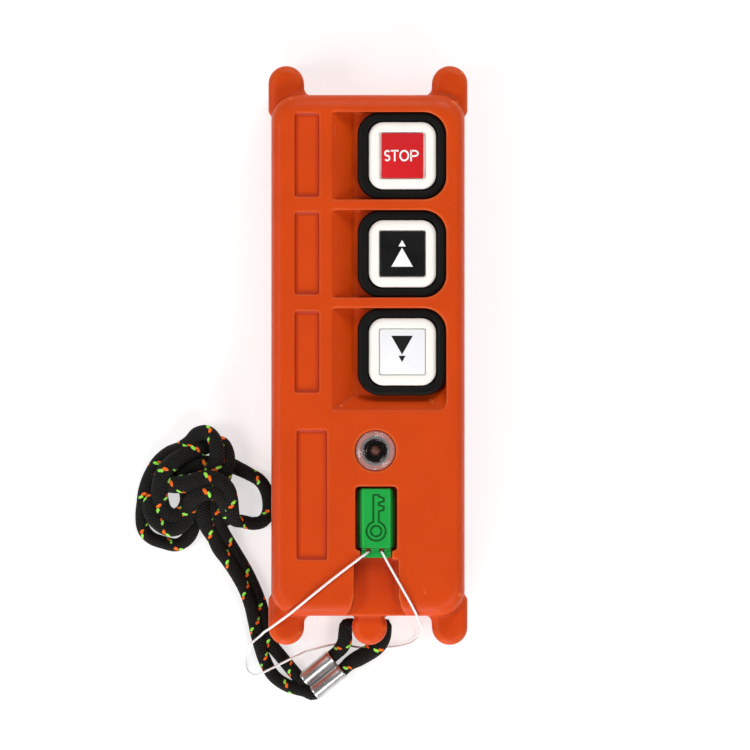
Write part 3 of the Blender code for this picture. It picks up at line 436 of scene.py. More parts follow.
# ================================================================ meshes
def new_mesh(name, bm, look=None, smooth=40):
    """An object of bm, whose points are in millimetres."""
    bmesh.ops.scale(bm, vec=(MM, MM, MM), verts=bm.verts)
    bmesh.ops.recalc_face_normals(bm, faces=bm.faces)
    mesh = bpy.data.meshes.new(name)
    bm.to_mesh(mesh)
    bm.free()
    return adopt(name, mesh, look, smooth)


def adopt(name, mesh, look, smooth=40):
    obj = bpy.data.objects.new(name, mesh)
    bpy.context.scene.collection.objects.link(obj)
    if look:
        mesh.materials.clear()
        mesh.materials.append(look.material)
    mesh.shade_smooth()
    if smooth < 180:
        mesh.set_sharp_from_angle(angle=math.radians(smooth))
    return obj


def loft(name, sections, look=None):
    bm = bmesh.new()
    add_loft(bm, sections)
    return new_mesh(name, bm, look)


def ring_loft(name, sections, look=None):
    """A closed band: the sections run up the outside and down the inside, and the last meets the first."""
    bm = bmesh.new()
    rings = [[bm.verts.new((x, y, z)) for x, y in outline] for outline, z in sections]
    for low, high in zip(rings, rings[1:] + rings[:1]):
        bridge(bm, low, high)
    return new_mesh(name, bm, look)


def turned(name, centre, profile, look, steps=48):
    """A round piece about a vertical axis: profile is radius and height, up the outside."""
    return loft(name, [(circle(*centre, max(r, 0.02), steps), z) for r, z in profile], look)


def lay_along(obj, axis, origin):
    """Turns an object made along +Z so that it lies along axis, X or Y, from origin."""
    turn = Matrix.Rotation(math.radians(90), 4, "Y" if axis == "X" else "X")
    if axis == "Y":
        turn = turn.inverted()
    obj.data.transform(Matrix.Translation(Vector(origin) * MM) @ turn)
    return obj


def moulded(obj, voxel, share, look, rounds=3):
    """The object with its Booleans done and every edge softened, as a mould leaves it; its helpers go."""
    remesh = obj.modifiers.new("even_mesh", "REMESH")
    remesh.mode = "VOXEL"
    remesh.voxel_size = voxel * MM
    soften = obj.modifiers.new("soften", "SMOOTH")
    soften.factor = 0.5
    soften.iterations = rounds
    fewer = obj.modifiers.new("fewer", "DECIMATE")
    fewer.ratio = share
    graph = bpy.context.evaluated_depsgraph_get()
    mesh = bpy.data.meshes.new_from_object(obj.evaluated_get(graph))
    helpers = {m.object for m in obj.modifiers if m.type == "BOOLEAN"}
    name = obj.name
    for old in (*helpers, obj):
        bpy.data.objects.remove(old)
    mesh.name = name
    return adopt(name, mesh, look, 180)


def arc(cx, cy, radius, start, end, steps):
    """Points on an arc, from start to end degrees."""
    angles = [math.radians(start + (end - start) * i / steps) for i in range(steps + 1)]
    return [(cx + radius * math.cos(a), cy + radius * math.sin(a)) for a in angles]


def circle(cx, cy, radius, steps=48):
    return arc(cx, cy, radius, 0, 360 - 360 / steps, steps - 1)


def rounded_box(x0, x1, y0, y1, radii, steps=32):
    """A box's outline, anticlockwise. radii is one radius, or four, from the right top corner on."""
    tr, tl, bl, br = radii if isinstance(radii, tuple) else (radii,) * 4
    return (
        arc(x1 - tr, y1 - tr, tr, 0, 90, steps)
        + arc(x0 + tl, y1 - tl, tl, 90, 180, steps)
        + arc(x0 + bl, y0 + bl, bl, 180, 270, steps)
        + arc(x1 - br, y0 + br, br, 270, 360, steps)
    )


def rounded_rect(cx, cy, half_x, half_y, radius, steps=32):
    return rounded_box(cx - half_x, cx + half_x, cy - half_y, cy + half_y, radius, steps)


def inset(outline, distance):
    """The outline moved inwards along its own normals."""
    moved = []
    for i, (x, y) in enumerate(outline):
        before, after = Vector(outline[i - 1]), Vector(outline[(i + 1) % len(outline)])
        along = (after - before).normalized()
        moved.append((x - along.y * distance, y + along.x * distance))
    return moved


def bumper_quarter(side_x, end_y):
    """The right top corner's bumper, anticlockwise from the side to the short edge."""
    inner = BUMPER_X - BUMPER_R
    return (
        [(side_x, BUMPER_START - 1.0), (BUMPER_X + BUMPER_R, BUMPER_START + 0.6)]
        + arc(BUMPER_X, BUMPER_Y, BUMPER_R, 0, 180, 30)
        + arc(inner - BUMPER_FILLET, end_y + BUMPER_FILLET, BUMPER_FILLET, 0, -90, 8)
    )


def bumper_outline(side_x, end_y, knob):
    """All four bumpers, and the knob between the lower two where knob is true, anticlockwise."""
    quarter = bumper_quarter(side_x, end_y)
    left_top = [(-x, y) for x, y in reversed(quarter)]
    left_bottom = [(-x, -y) for x, y in quarter]
    right_bottom = [(x, -y) for x, y in reversed(quarter)]
    neck = math.degrees(math.asin((-end_y - KNOB_Y) / KNOB_R))
    middle = arc(KNOB_X, KNOB_Y, KNOB_R, 180 - neck, 360 + neck, 40) if knob else []
    return quarter + left_top + left_bottom + middle + right_bottom


def case_screw_places():
    return [(x * SCREW_XY[0], y * SCREW_XY[1]) for x in (-1, 1) for y in (-1, 1)]


def bridge(bm, low, high):
    """Quads between two rings of the same length."""
    for i in range(len(low)):
        j = (i + 1) % len(low)
        bm.faces.new((low[i], low[j], high[j], high[i]))


def add_loft(bm, sections):
    """A closed body through sections, each an outline and its height, capped at both ends."""
    rings = [[bm.verts.new((x, y, z)) for x, y in outline] for outline, z in sections]
    for low, high in zip(rings, rings[1:]):
        bridge(bm, low, high)
    bm.faces.new(list(reversed(rings[0])))
    bm.faces.new(rings[-1])


def prism(name, outline, z0, z1, look=None):
    return loft(name, [(outline, z0), (outline, z1)], look)


def box(name, x, y, z, look=None):
    """A box from three (low, high) pairs."""
    corners = [(x[1], y[0]), (x[1], y[1]), (x[0], y[1]), (x[0], y[0])]
    return prism(name, corners, *z, look)


def cylinder(name, centre, radius, z0, z1, look=None, steps=48):
    return prism(name, circle(*centre, radius, steps), z0, z1, look)


def combine(obj, operation, others):
    """Adds one Boolean for each of the other objects, which become hidden helpers."""
    for other in others:
        modifier = obj.modifiers.new(f"{operation.lower()}_{other.name}", "BOOLEAN")
        modifier.operation = operation
        modifier.object = other
        other.hide_render = True
        other.display_type = "WIRE"
        other.hide_set(True)


def cut(obj, *cutters):
    combine(obj, "DIFFERENCE", cutters)


def join(obj, *others):
    combine(obj, "UNION", others)


def button_pocket(key, y):
    """The cutter of a button's pocket, which slopes up to the face on the thumb's side."""
    low, high = y - RING_HALF - POCKET_MARGIN, y + RING_HALF + POCKET_MARGIN
    right = BUTTON_X + RING_HALF + POCKET_MARGIN
    end_slope = POCKET_END_SLOPE if key == "down" else 0.0
    sections = []
    for z in (POCKET_FLOOR, FACE_Z + 1.5):
        share = (z - POCKET_FLOOR) / (FACE_Z - POCKET_FLOOR)
        left = POCKET_LEFT + POCKET_SLOPE * (1 - share)
        bottom = low - end_slope * share
        radius = RING_R if not end_slope else RING_R * max(0.12, 1 - share)
        sections.append((rounded_box(left, right, bottom, high, (RING_R, 0.4, 0.4, radius)), z))
    return loft(f"cut_pocket_{key}", sections)


def key_pocket():
    """Pocket for the key, slot for its tab, and the finger groove that runs out over the knob."""
    x = KEY_X
    pocket = prism("cut_key_pocket",
                   rounded_box(x - KEY_POCKET_HALF, x + KEY_POCKET_HALF, *KEY_POCKET_Y, 0.9),
                   KEY_FLOOR, FACE_Z + 1)
    slot = box("cut_key_slot", (x - KEY_TAB_HALF - 0.3, x + KEY_TAB_HALF + 0.3),
               (KEY_TAB_Y - 1.5, KEY_POCKET_Y[0] + 1), (KEY_FLOOR, FACE_Z + 1))
    near, far = KEY_TAB_Y - 0.4, -BODY_Y - 8
    flare = GROOVE_HALF + 2.6
    outline = [
        (x - GROOVE_HALF, near), (x - GROOVE_HALF, -61.5), (x - GROOVE_HALF - 0.8, -64.5),
        (x - flare, -BODY_Y - 0.3), (x - flare, far), (x + flare, far), (x + flare, -BODY_Y - 0.3),
        (x + GROOVE_HALF + 0.8, -64.5), (x + GROOVE_HALF, -61.5), (x + GROOVE_HALF, near),
    ]
    groove = prism("cut_groove", outline, KEY_FLOOR - 0.1, FACE_Z + 1)
    return pocket, slot, groove


def quarter(steps):
    """Round a quarter circle from side to top: how far in and how far up, as shares of its radius."""
    angles = [math.pi / 2 * i / steps for i in range(steps + 1)]
    return [(1 - math.cos(angle), math.sin(angle)) for angle in angles]


def front_shell():
    base = PARTING + GAP
    shell = front_body(base)
    cut(
        shell,
        prism("cut_front_cavity", rounded_rect(0, 0, BODY_X - WALL, BODY_Y - WALL, 4.3),
              base - 1, CAVITY_TOP),
        box("cut_front_left", (-22.3, -11.2), (-18.0, 60.0), (CAVITY_TOP - 1, CAVITY_TOP_THIN)),
        box("cut_front_lower", (-22.3, KEY_X - 7.2), (-59.0, -17.2), (CAVITY_TOP - 1.3, CAVITY_TOP_THIN)),
        box("cut_front_right", (KEY_X + 7.2, 22.3), (-59.0, -17.2), (CAVITY_TOP - 1, CAVITY_TOP_THIN)),
    )
    for number, place in enumerate(case_screw_places(), 1):
        cut(shell, cylinder(f"cut_screw_bore_{number}", place, SCREW_SHANK_R + 0.12,
                            base - 1, 18.2, steps=32))
    for key, y in BUTTON_YS.items():
        cut(shell, button_pocket(key, y),
            prism(f"cut_window_{key}", rounded_rect(BUTTON_X, y, 9.3, 9.3, 4.0, 12), CAVITY_TOP - 1,
                  POCKET_FLOOR + 1))
    cut(shell, *key_pocket())
    cut(shell, cylinder("cut_lens_seat", LAMP, LENS_R + 0.25, 24.8, FACE_Z + 1, steps=40),
        cylinder("cut_lamp_bore", LAMP, 3.6, CAVITY_TOP - 1, FACE_Z, steps=40))
    for number, label in enumerate(LABELS, 1):
        cut(shell, prism(f"cut_label_{number}", rounded_box(*label, 0.35, 5),
                         FACE_Z - LABEL_DEPTH, FACE_Z + 1))
    return shell


def front_body(base):
    """The front half before anything is cut from it, with its bumpers and the knob."""
    sections = [(rounded_rect(0, 0, BODY_X, BODY_Y, CORNER_R, CORNER_STEPS), base)]
    for share, up in quarter(10):
        half_x = BODY_X - DRAFT - FACE_ROUND_SIDE * share
        half_y = BODY_Y - DRAFT - FACE_ROUND_END * share
        sections.append((rounded_rect(0, 0, half_x, half_y, CORNER_R - share, CORNER_STEPS),
                         FACE_Z - FACE_ROUND_Z + FACE_ROUND_Z * up))
    shell = loft("front_shell", sections)
    outline = bumper_outline(BODY_X - 0.8, BODY_Y - 0.5, True)
    bumpers = [(outline, base)]
    for share, up in quarter(8):
        bumpers.append((inset(outline, BUMPER_ROUND * share), BUMPER_Z[1] - BUMPER_ROUND * (1 - up)))
    join(shell, loft("add_front_bumpers", bumpers))
    return shell


def rear_body():
    """The rear half before anything is cut from it, with its bumpers."""
    sections = []
    for share, up in quarter(8):
        in_by = BACK_ROUND * (1 - up) + DRAFT
        sections.append((rounded_rect(0, 0, BODY_X - in_by, BODY_Y - in_by,
                                      CORNER_R - 0.7 * (in_by - DRAFT), CORNER_STEPS),
                         BACK_ROUND * share))
    sections.append((rounded_rect(0, 0, BODY_X, BODY_Y, CORNER_R, CORNER_STEPS), PARTING))
    shell = loft("rear_shell", sections)
    outline = bumper_outline(BODY_X - 0.8, BODY_Y - 0.5, False)
    bumpers = []
    for share, up in quarter(8):
        bumpers.append((inset(outline, BUMPER_ROUND * (1 - up)), BUMPER_Z[0] + BUMPER_ROUND * share))
    bumpers.append((outline, PARTING))
    join(shell, loft("add_rear_bumpers", bumpers))
    return shell


def rear_shell():
    shell = rear_body()
    eye = rounded_box(KNOB_X - EYE_HALF, KNOB_X + EYE_HALF, EYE_END, -BODY_Y + 3, 1.5, 3)
    join(shell, loft("add_eye", [(inset(eye, 0.8), 0.6), (eye, 1.4), (eye, PARTING)]))
    cut(
        shell,
        prism("cut_rear_cavity", rounded_rect(0, 0, BODY_X - WALL, BODY_Y - WALL, 4.3), WALL, PARTING + 1),
        lay_along(cylinder("cut_eye_hole", (0, 0), EYE_HOLE_R, 0, 8, steps=40), "X",
                  (KNOB_X - 4, *EYE_HOLE)),
    )
    join(
        shell,
        box("add_cover_frame", (-19.6, 19.6), (-65.0, 3.2), (1.0, 3.7)),
        box("add_bay", (-BAY_HALF - BAY_WALL, BAY_HALF + BAY_WALL),
            (BAY_Y[0] - BAY_WALL, BAY_Y[1] + BAY_WALL), (1.5, BAY_TOP + 1.0)),
    )
    add_screw_seats(shell)
    cut_bay(shell)
    cut(shell, ring_loft("cut_seal_groove", band(body_outline, 0.75, 1.95, 10.0, PARTING + 1)))
    cut(shell, ring_loft("cut_cover_groove", band(rounded_cover, 0.9, 1.75, 2.0, 2.95)))
    return shell


def add_screw_seats(shell):
    """Bores for the case's screws, posts under the board, and bosses for the cover's screws."""
    for number, place in enumerate(case_screw_places(), 1):
        cut(shell, cylinder(f"cut_head_{number}", place, SCREW_HEAD_R + 0.35, -1, 7.0, steps=32),
            cylinder(f"cut_shank_{number}", place, SCREW_SHANK_R + 0.35, 5, PARTING + 1, steps=32))
    for number, place in enumerate(((-16.5, 36.0), (16.5, 36.0), (-16.5, 10.0), (16.5, 10.0)), 1):
        join(shell, cylinder(f"add_board_post_{number}", place, 1.8, 1.2, BOARD_Z[0] - GAP, steps=32))
    for number, place in enumerate(COVER_SCREWS, 1):
        join(shell, cylinder(f"add_cover_boss_{number}", place, 2.7, 2.5, BOARD_Z[0] - 0.3, steps=32))
        cut(shell, cylinder(f"cut_cover_boss_{number}", place, SCREW_SHANK_R + 0.12, 1, 6.6, steps=32))


def cut_bay(shell):
    """The cover's recess, the battery bay, a recess for a type plate, and slots for tags and tongues."""
    half, (low, high) = COVER_HALF + 0.25, COVER_Y
    cut(
        shell,
        prism("cut_cover_recess", rounded_box(-half, half, low - 0.25, high + 0.25, 3.2, 4),
              -1, COVER_Z[1] + GAP),
        box("cut_bay", (-BAY_HALF, BAY_HALF), (BAY_Y[0], BAY_Y[1]), (COVER_Z[1] - 0.4, BAY_TOP)),
        prism("cut_type_plate", rounded_box(-16.0, 16.0, 12.0, 50.0, 1.5, 3), -1, 0.4),
        box("cut_tag_left", (-TAG_X - 1.1, -TAG_X + 1.1), (BAY_Y[1] - 0.3, BAY_Y[1] + 2), (4.7, 5.8)),
        box("cut_tag_right", (TAG_X - 1.1, TAG_X + 1.1), (BAY_Y[1] - 0.3, BAY_Y[1] + 2), (4.7, 5.8)),
        box("cut_tongue_left", (-15.2, -11.8), (-61.5, -60.5), (3.0, 4.1)),
        box("cut_tongue_right", (11.8, 15.2), (-61.5, -60.5), (3.0, 4.1)),
    )


def body_outline(in_by):
    """The body's outline at the parting line, set in."""
    return rounded_rect(0, 0, BODY_X - in_by, BODY_Y - in_by, CORNER_R - in_by, CORNER_STEPS)


def rounded_cover(in_by):
    """The line of the battery cover's seal, set in from the bay cover's edge; it passes inside the screws."""
    return rounded_box(-COVER_HALF + in_by, COVER_HALF - in_by, COVER_Y[0] + in_by - 0.15,
                       BAY_Y[1] + 2.15 - in_by, 2.4 - in_by * 0.5, 3)


def band(outline_at, outer, inner, z0, z1):
    """Sections of a closed band between two insets of one outline."""
    steps = ((outer, z0), (outer, z1), (inner, z1), (inner, z0))
    return [(outline_at(in_by), z) for in_by, z in steps]


def battery_cover():
    low, high = COVER_Z
    outline = rounded_box(-COVER_HALF, COVER_HALF, *COVER_Y, 3.0, 4)
    cover = loft("battery_cover", [(inset(outline, 0.5), low), (outline, low + 0.5), (outline, high)])
    for side in (-1, 1):
        x = sorted((side * 12.0, side * 15.0))
        join(cover, box(f"add_tongue_root_{side}", x, (-60.85, -60.0), (high - 0.5, 3.9)),
             box(f"add_tongue_{side}", x, (-61.4, -60.3), (3.2, 3.9)))
    for number, (x, y) in enumerate(COVER_SCREWS, 1):
        cut(cover, cylinder(f"cut_cover_screw_{number}", (x, y), SCREW_SHANK_R + 0.3,
                            low - 1, high + 1, steps=32),
            cylinder(f"cut_cover_head_{number}", (x, y), SCREW_HEAD_R + 0.3, low - 1, 1.25, steps=40))
    for number in range(4):
        y = -52.0 + number * 2.6
        cut(cover, prism(f"cut_grip_{number}", rounded_box(-9.0, 9.0, y - 0.6, y + 0.6, 0.5, 1),
                         low - 1, low + 0.45))
    return cover


# ================================================================ camera, light and floor
VIEW_CENTRE = (1.8, -5.0)
VIEW_WIDTH = 191.1       # what the picture is across, at the height of the face
VIEW_HEIGHT = 2500.0
SENSOR = 36.0


def add_camera():
    data = bpy.data.cameras.new("camera")
    data.sensor_width = SENSOR
    data.lens = SENSOR * (VIEW_HEIGHT - FACE_Z) / VIEW_WIDTH
    data.clip_end = 10
    camera = bpy.data.objects.new("camera", data)
    camera.location = Vector((*VIEW_CENTRE, VIEW_HEIGHT)) * MM
    bpy.context.scene.collection.objects.link(camera)
    bpy.context.scene.camera = camera


LIGHTS = (
    ("left_box", (-0.85, -0.15, 1.05), 0.45, 5.8),
    ("front_box", (-0.2, -1.15, 0.45), 0.45, 9.2),
    ("front_right_box", (0.58, -0.75, 1.0), 0.4, 4.9),
    ("back_box", (0.25, 0.95, 0.75), 0.5, 7.5),
)
AMBIENT = (0.14, 0.4)    # of the sky, at the zenith and at the horizon


def add_light(name, place, size, power):
    """A square soft light at place, in metres, aimed at the station."""
    data = bpy.data.lights.new(name, "AREA")
    data.size = size
    data.energy = power
    light = bpy.data.objects.new(name, data)
    light.location = place
    light.rotation_mode = "QUATERNION"
    light.rotation_quaternion = Vector(place).to_track_quat("Z", "Y")
    bpy.context.scene.collection.objects.link(light)


def add_studio():
    world = bpy.data.worlds.new("studio")
    world.use_nodes = True
    nodes, links = world.node_tree.nodes, world.node_tree.links
    nodes["Background"].inputs["Color"].default_value = (1.0, 1.0, 1.0, 1.0)
    split = nodes.new("ShaderNodeSeparateXYZ")
    links.new(nodes.new("ShaderNodeTexCoord").outputs["Generated"], split.inputs[0])
    fade = nodes.new("ShaderNodeMapRange")
    fade.inputs["To Min"].default_value, fade.inputs["To Max"].default_value = AMBIENT[1], AMBIENT[0]
    links.new(split.outputs["Z"], fade.inputs["Value"])
    links.new(fade.outputs[0], nodes["Background"].inputs["Strength"])
    bpy.context.scene.world = world
    bpy.context.scene.view_settings.view_transform = "Standard"
    for light in LIGHTS:
        add_light(*light)
    bm = bmesh.new()
    bmesh.ops.create_grid(bm, x_segments=1, y_segments=1, size=1500)
    paper = Look("floor_paper", (0.5, 0.5, 0.5), 0.9)
    paper.paint(paper.mix(paper.noise(12.0), (0.49, 0.49, 0.49, 1), (0.51, 0.51, 0.51, 1)))
    paper.set("Emission Color", (1.0, 1.0, 1.0, 1.0))
    paper.set("Emission Strength", 0.6)
    paper.set("Specular IOR Level", 0.0)
    floor = new_mesh("floor", bm, paper)


# ================================================================ cords
# Routes are chosen: x, y, z of the cord's middle. The first half of the lanyard leaves the eye on its
# left, the second on its right; each goes through the ferrule and up into the knot.
FIRST_HALF = (
    (0.4, -69.6, 4.9), (-1.8, -69.6, 4.9), (-5.4, -69.18, 4.6), (-5.86, -71.23, 4), (-6, -73.41, 3.2),
    (-7.08, -75.46, 2.5), (-8.95, -77.17, 2.05), (-10.19, -78.18, 2.05), (-15.94, -82.84, 2.05),
    (-17.03, -83.72, 2.05), (-17.82, -82.82, 2), (-19.11, -81.36, 1.85), (-20.78, -79.36, 1.75),
    (-22.58, -77.17, 1.75), (-24.51, -74.73, 1.75), (-25.85, -71.64, 1.75), (-26.7, -67.52, 1.75),
    (-27.83, -63.41, 1.75), (-29.48, -59.29, 1.75), (-31.2, -55.69, 1.75), (-32.67, -53.11, 1.75),
    (-34.68, -49.77, 1.8), (-36.5, -46.77, 2.4), (-38.43, -43.28, 3.4), (-39.46, -40.16, 4.4),
    (-39.18, -36.69, 4.4), (-38.07, -33.25, 4.3), (-36.85, -30.14, 4.6), (-36.13, -27.58, 5.2),
    (-36.24, -24.99, 5.2), (-37.45, -22.67, 4.6), (-39.69, -22.71, 3.9), (-42.33, -23.62, 3.6),
    (-45.4, -24.64, 4.4), (-48.59, -26.38, 5.2), (-51.13, -28.39, 5.6), (-52.87, -31.07, 5.6),
    (-53.54, -34.03, 5.4), (-53.28, -37.25, 5.2), (-52.21, -39.99, 5), (-49.89, -41.34, 4.9),
    (-47.48, -40.21, 4.7), (-46.26, -37.66, 4.3), (-46.48, -34.85, 3.6), (-47.97, -32.44, 3),
    (-48.64, -30.02, 2.8), (-46.9, -28.47, 2.8), (-44.09, -28.01, 2.9), (-41.54, -27.87, 2.9),
    (-39.34, -28.21, 2.7),
)
SECOND_HALF = (
    (0.4, -69.6, 4.9), (2.6, -69.6, 4.9), (4.28, -69.18, 4.7), (4.28, -71.5, 4), (3.34, -73.68, 3.2),
    (1.17, -75.73, 2.7), (-1.81, -77.5, 2.3), (-4.65, -79.13, 2.1), (-6.29, -80.62, 2.05),
    (-7.46, -81.56, 2.05), (-13.21, -86.22, 2.05), (-14.22, -87.04, 2.05), (-16.15, -86.19, 2.05),
    (-18.21, -85.68, 2.1), (-20.78, -84.83, 2.1), (-23.27, -83.28, 2.1), (-25.02, -81.4, 2.2),
    (-26.56, -78.31, 2.4), (-27.51, -75.47, 2.7), (-28.49, -71.86, 3), (-29.31, -68, 3.1),
    (-30.28, -63.89, 3.1), (-31.83, -59.77, 3.1), (-34.14, -55.66, 3), (-36.33, -52.45, 3),
    (-38.34, -49.87, 3), (-39.77, -46.85, 3.6), (-41.38, -43.97, 4.6), (-42.33, -41.01, 5.2),
    (-42.49, -38.06, 5.2), (-42.17, -34.57, 4.9), (-40.57, -31.08, 4.9), (-39.15, -27.92, 6.2),
    (-38.76, -24.75, 7.6), (-39.38, -21.65, 7.4), (-41.35, -19.66, 6.2), (-43.91, -20.2, 5),
    (-45.67, -22.35, 4.2), (-48.1, -24.11, 3.2), (-51.06, -25.32, 2.6), (-53.75, -27.61, 2.3),
    (-55.76, -30.84, 2.2), (-57.1, -34.33, 2.3), (-57.77, -38.09, 2.3), (-58.17, -41.59, 2.2),
    (-57.64, -44.82, 1.9), (-55.63, -46.97, 1.8), (-52.68, -48.05, 1.8), (-49.47, -48.72, 1.8),
    (-46.79, -47.38, 1.8), (-45.31, -44.82, 1.8), (-45.18, -41.6, 1.8), (-44.91, -38.1, 1.8),
    (-43.57, -34.34, 1.8), (-41.16, -31.11, 1.8), (-38.35, -28.8, 1.8), (-35.7, -28.16, 1.8),
    (-33.13, -29.19, 1.8), (-30.56, -30.47, 1.8), (-27.99, -32.02, 1.8), (-26.3, -34.4, 1.75),
    (-25.55, -37.4, 1.75), (-25.7, -40.5, 1.75), (-27.1, -42.6, 1.8), (-29.53, -43.21, 1.8),
    (-32.1, -42.69, 2.2), (-34.39, -42.15, 3.6), (-34.93, -39.94, 5.8), (-35.24, -37.09, 7.4),
    (-35.96, -34.51, 8.2), (-37.88, -32.55, 8.5), (-40.51, -31.58, 8.5), (-43.45, -31.98, 8.3),
    (-46.41, -32.93, 7.6), (-49.38, -33.21, 6), (-52.11, -33.24, 3.4), (-54.67, -35.4, 3),
    (-56.11, -38.61, 4.2), (-55.35, -41.55, 4.8), (-53.2, -43.7, 5), (-50.69, -44.66, 5),
    (-48.28, -43.86, 5), (-46.78, -41.5, 4.9), (-45.63, -38.31, 6), (-44, -36.01, 7.8),
    (-41.44, -34.93, 8.4), (-38.75, -35.32, 8.2), (-37.1, -36.87, 7.2), (-36.6, -39.22, 5),
    (-36.68, -41.72, 3), (-37.37, -43.74, 2),
)
TETHER = (
    (2.0, -75.0, 0.45), (-0.6, -75.2, 0.4), (-3.6, -74.9, 0.4), (-6.8, -74.2, 0.4), (-10.2, -74.6, 0.4),
    (-13.8, -75.6, 0.6), (-16.6, -76.4, 1.2), (-18.2, -77.13, 3.2), (-19.73, -77.88, 4.1),
    (-21.53, -78.77, 4.3),
    (-23.59, -79.8, 4.3), (-25.64, -80.81, 4.7), (-27.18, -81.59, 4.6), (-28.48, -82.14, 3.4),
    (-30.05, -81.94, 1.4), (-31.22, -80.68, 0.6), (-31.6, -78.36, 0.8), (-31.32, -76.25, 2.4),
    (-30.66, -74.66, 4.2), (-29.61, -73.6, 5.3), (-28.2, -72.44, 5.4), (-27.4, -71.7, 10.5),
    (-26.5, -70.7, 18.4), (-24.9, -69.6, 21.2), (-22.6, -67.9, 22.7), (-20.6, -66.4, 24.6),
    (-18.6, -64.8, 26.1), (-14.0, -61.0, 26.7), (-9.0, -57.0, 26.65), (-5.0, -53.9, 26.65),
    (-2.6, -52.1, 26.6), (-1.6, -51.3, 26.45),
    (-0.7, -50.75, 25.8), (-0.2, -50.35, 24.9), (0.1, -50.05, 24.4), (0.1, -50.0, 23.6), (0.1, -50.0, 22.9),
    (0.6, -50.0, 22.35), (1.8, -50.0, 22.2), (3.0, -50.0, 22.35), (3.5, -50.0, 22.9), (3.5, -50.0, 23.6),
    (3.5, -50.05, 24.4), (3.75, -50.5, 24.9), (4.5, -51.9, 25.5), (6.0, -54.6, 26.3), (7.6, -57.4, 26.55),
    (9.6, -60.9, 26.7), (11.2, -63.8, 26.5), (12.5, -66.4, 24.8), (13.3, -68.4, 19.5), (13.7, -69.6, 12.0),
    (13.7, -71.2, 5.0), (12.8, -72.8, 1.4), (10.8, -74.1, 0.5), (8.2, -74.8, 0.4), (5.6, -75.1, 0.4),
    (3.2, -75.15, 0.45),
)


def smooth_path(points, step):
    """Points a step apart along a Catmull-Rom curve through the given ones."""
    ends = [Vector(points[0]) * 2 - Vector(points[1]), *map(Vector, points)]
    ends.append(Vector(points[-1]) * 2 - Vector(points[-2]))
    fine = []
    for p0, p1, p2, p3 in zip(ends, ends[1:], ends[2:], ends[3:]):
        for i in range(12):
            t = i / 12
            fine.append(0.5 * (2 * p1 + (p2 - p0) * t + (2 * p0 - 5 * p1 + 4 * p2 - p3) * t**2
                               + (3 * p1 - p0 - 3 * p2 + p3) * t**3))
    fine.append(ends[-2])
    even, ahead = [fine[0]], step
    for a, b in zip(fine, fine[1:]):
        gap = (b - a).length
        while ahead <= gap:
            even.append(a.lerp(b, ahead / gap))
            ahead += step
        ahead -= gap
    return even


# Where the braid is pushed together the lanyard is thicker: the middle, the reach, and by how much.
SWELLS = ((Vector((-45.5, -33.0, 4.5)), 15.5, 0.3), (Vector((-1.0, -75.0, 3.0)), 7.0, 0.26))
EYE_CLEAR = (3.0, 7.0)   # it stays thin up to the first length from the eye, and swells fully by the second


def lanyard_radius(place, length):
    free = min(1.0, max(0.0, (length - EYE_CLEAR[0]) / (EYE_CLEAR[1] - EYE_CLEAR[0])))
    radius = CORD_R
    for middle, reach, more in SWELLS:
        radius += CORD_R * more * free * min(1.0, max(0.0, 2 - 2 * (place - middle).length / reach))
    return radius


def lying(path):
    """The path, lifted where the thick lanyard would otherwise sink into the ground."""
    lifted, length = [], 0.0
    for i, place in enumerate(path):
        if i:
            length += (place - path[i - 1]).length
        lifted.append(Vector((place.x, place.y, max(place.z, lanyard_radius(place, length)))))
    return lifted


def cord_tube(name, path, radius_at, look, sides):
    """A tube along path with rounded ends. Its UV's U runs round it and V is the length in millimetres."""
    bm = bmesh.new()
    uv = bm.loops.layers.uv.new("UVMap")
    forward = (path[1] - path[0]).normalized()
    out = forward.orthogonal().normalized()
    rings, length = [], 0.0
    for i, place in enumerate(path):
        ahead = path[min(i + 1, len(path) - 1)] - path[max(i - 1, 0)]
        turn = forward.rotation_difference(ahead)
        forward, out = ahead.normalized(), (turn @ out).normalized()
        if i:
            length += (place - path[i - 1]).length
        from_end = min(i, len(path) - 1 - i)
        swell = radius_at(place, length) * ((0.55, 0.85)[from_end] if from_end < 2 else 1.0)
        side = forward.cross(out)
        ring = []
        for k in range(sides):
            angle = 2 * math.pi * k / sides
            ring.append(bm.verts.new(place + (out * math.cos(angle) + side * math.sin(angle)) * swell))
        rings.append((ring, length))
    for (low, v0), (high, v1) in zip(rings, rings[1:]):
        for k in range(sides):
            j = (k + 1) % sides
            face = bm.faces.new((low[k], low[j], high[j], high[k]))
            corners = ((k, v0), (k + 1, v0), (k + 1, v1), (k, v1))
            for loop, (u, v) in zip(face.loops, corners):
                loop[uv].uv = (u / sides, v)
    bm.faces.new(list(reversed(rings[0][0])))
    bm.faces.new(rings[-1][0])
    return new_mesh(name, bm, look, 180), length


def add_cords():
    look = cord_look("braided_cord")
    ferrule = add_ferrule()
    halves = (
        ("lanyard_first_half", FIRST_HALF, ("lanyard_strand_inner",)),
        ("lanyard_second_half", SECOND_HALF,
         ("lanyard_bight", "lanyard_strand_outer", "lanyard_loop", "lanyard_knot")),
    )
    for name, route, nodes in halves:
        path = lying(smooth_path(route, 0.5))
        piece, length = cord_tube(name, path, lanyard_radius, look, 20)
        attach(piece, "case")
        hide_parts(*nodes)
    add_tether()


def add_tether():
    """The thin line round the lanyard and through the key's two holes."""
    look = Look("tether_line", (0.86, 0.86, 0.87), 0.35)
    fibres = look.noise(2500.0, 2.0, 0.5, (1.0, 0.2, 1.0))
    look.paint(look.mix(fibres, (0.82, 0.82, 0.83, 1), (0.95, 0.95, 0.95, 1)))
    look.rough(look.ramp(look.noise(1800.0), 0.3, 0.7, 0.28, 0.45))
    path = smooth_path(TETHER, 0.35)
    piece, length = cord_tube("tether_line", path, lambda place, length: TETHER_R, look, 10)
    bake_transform(piece)
    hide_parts("key_tether")


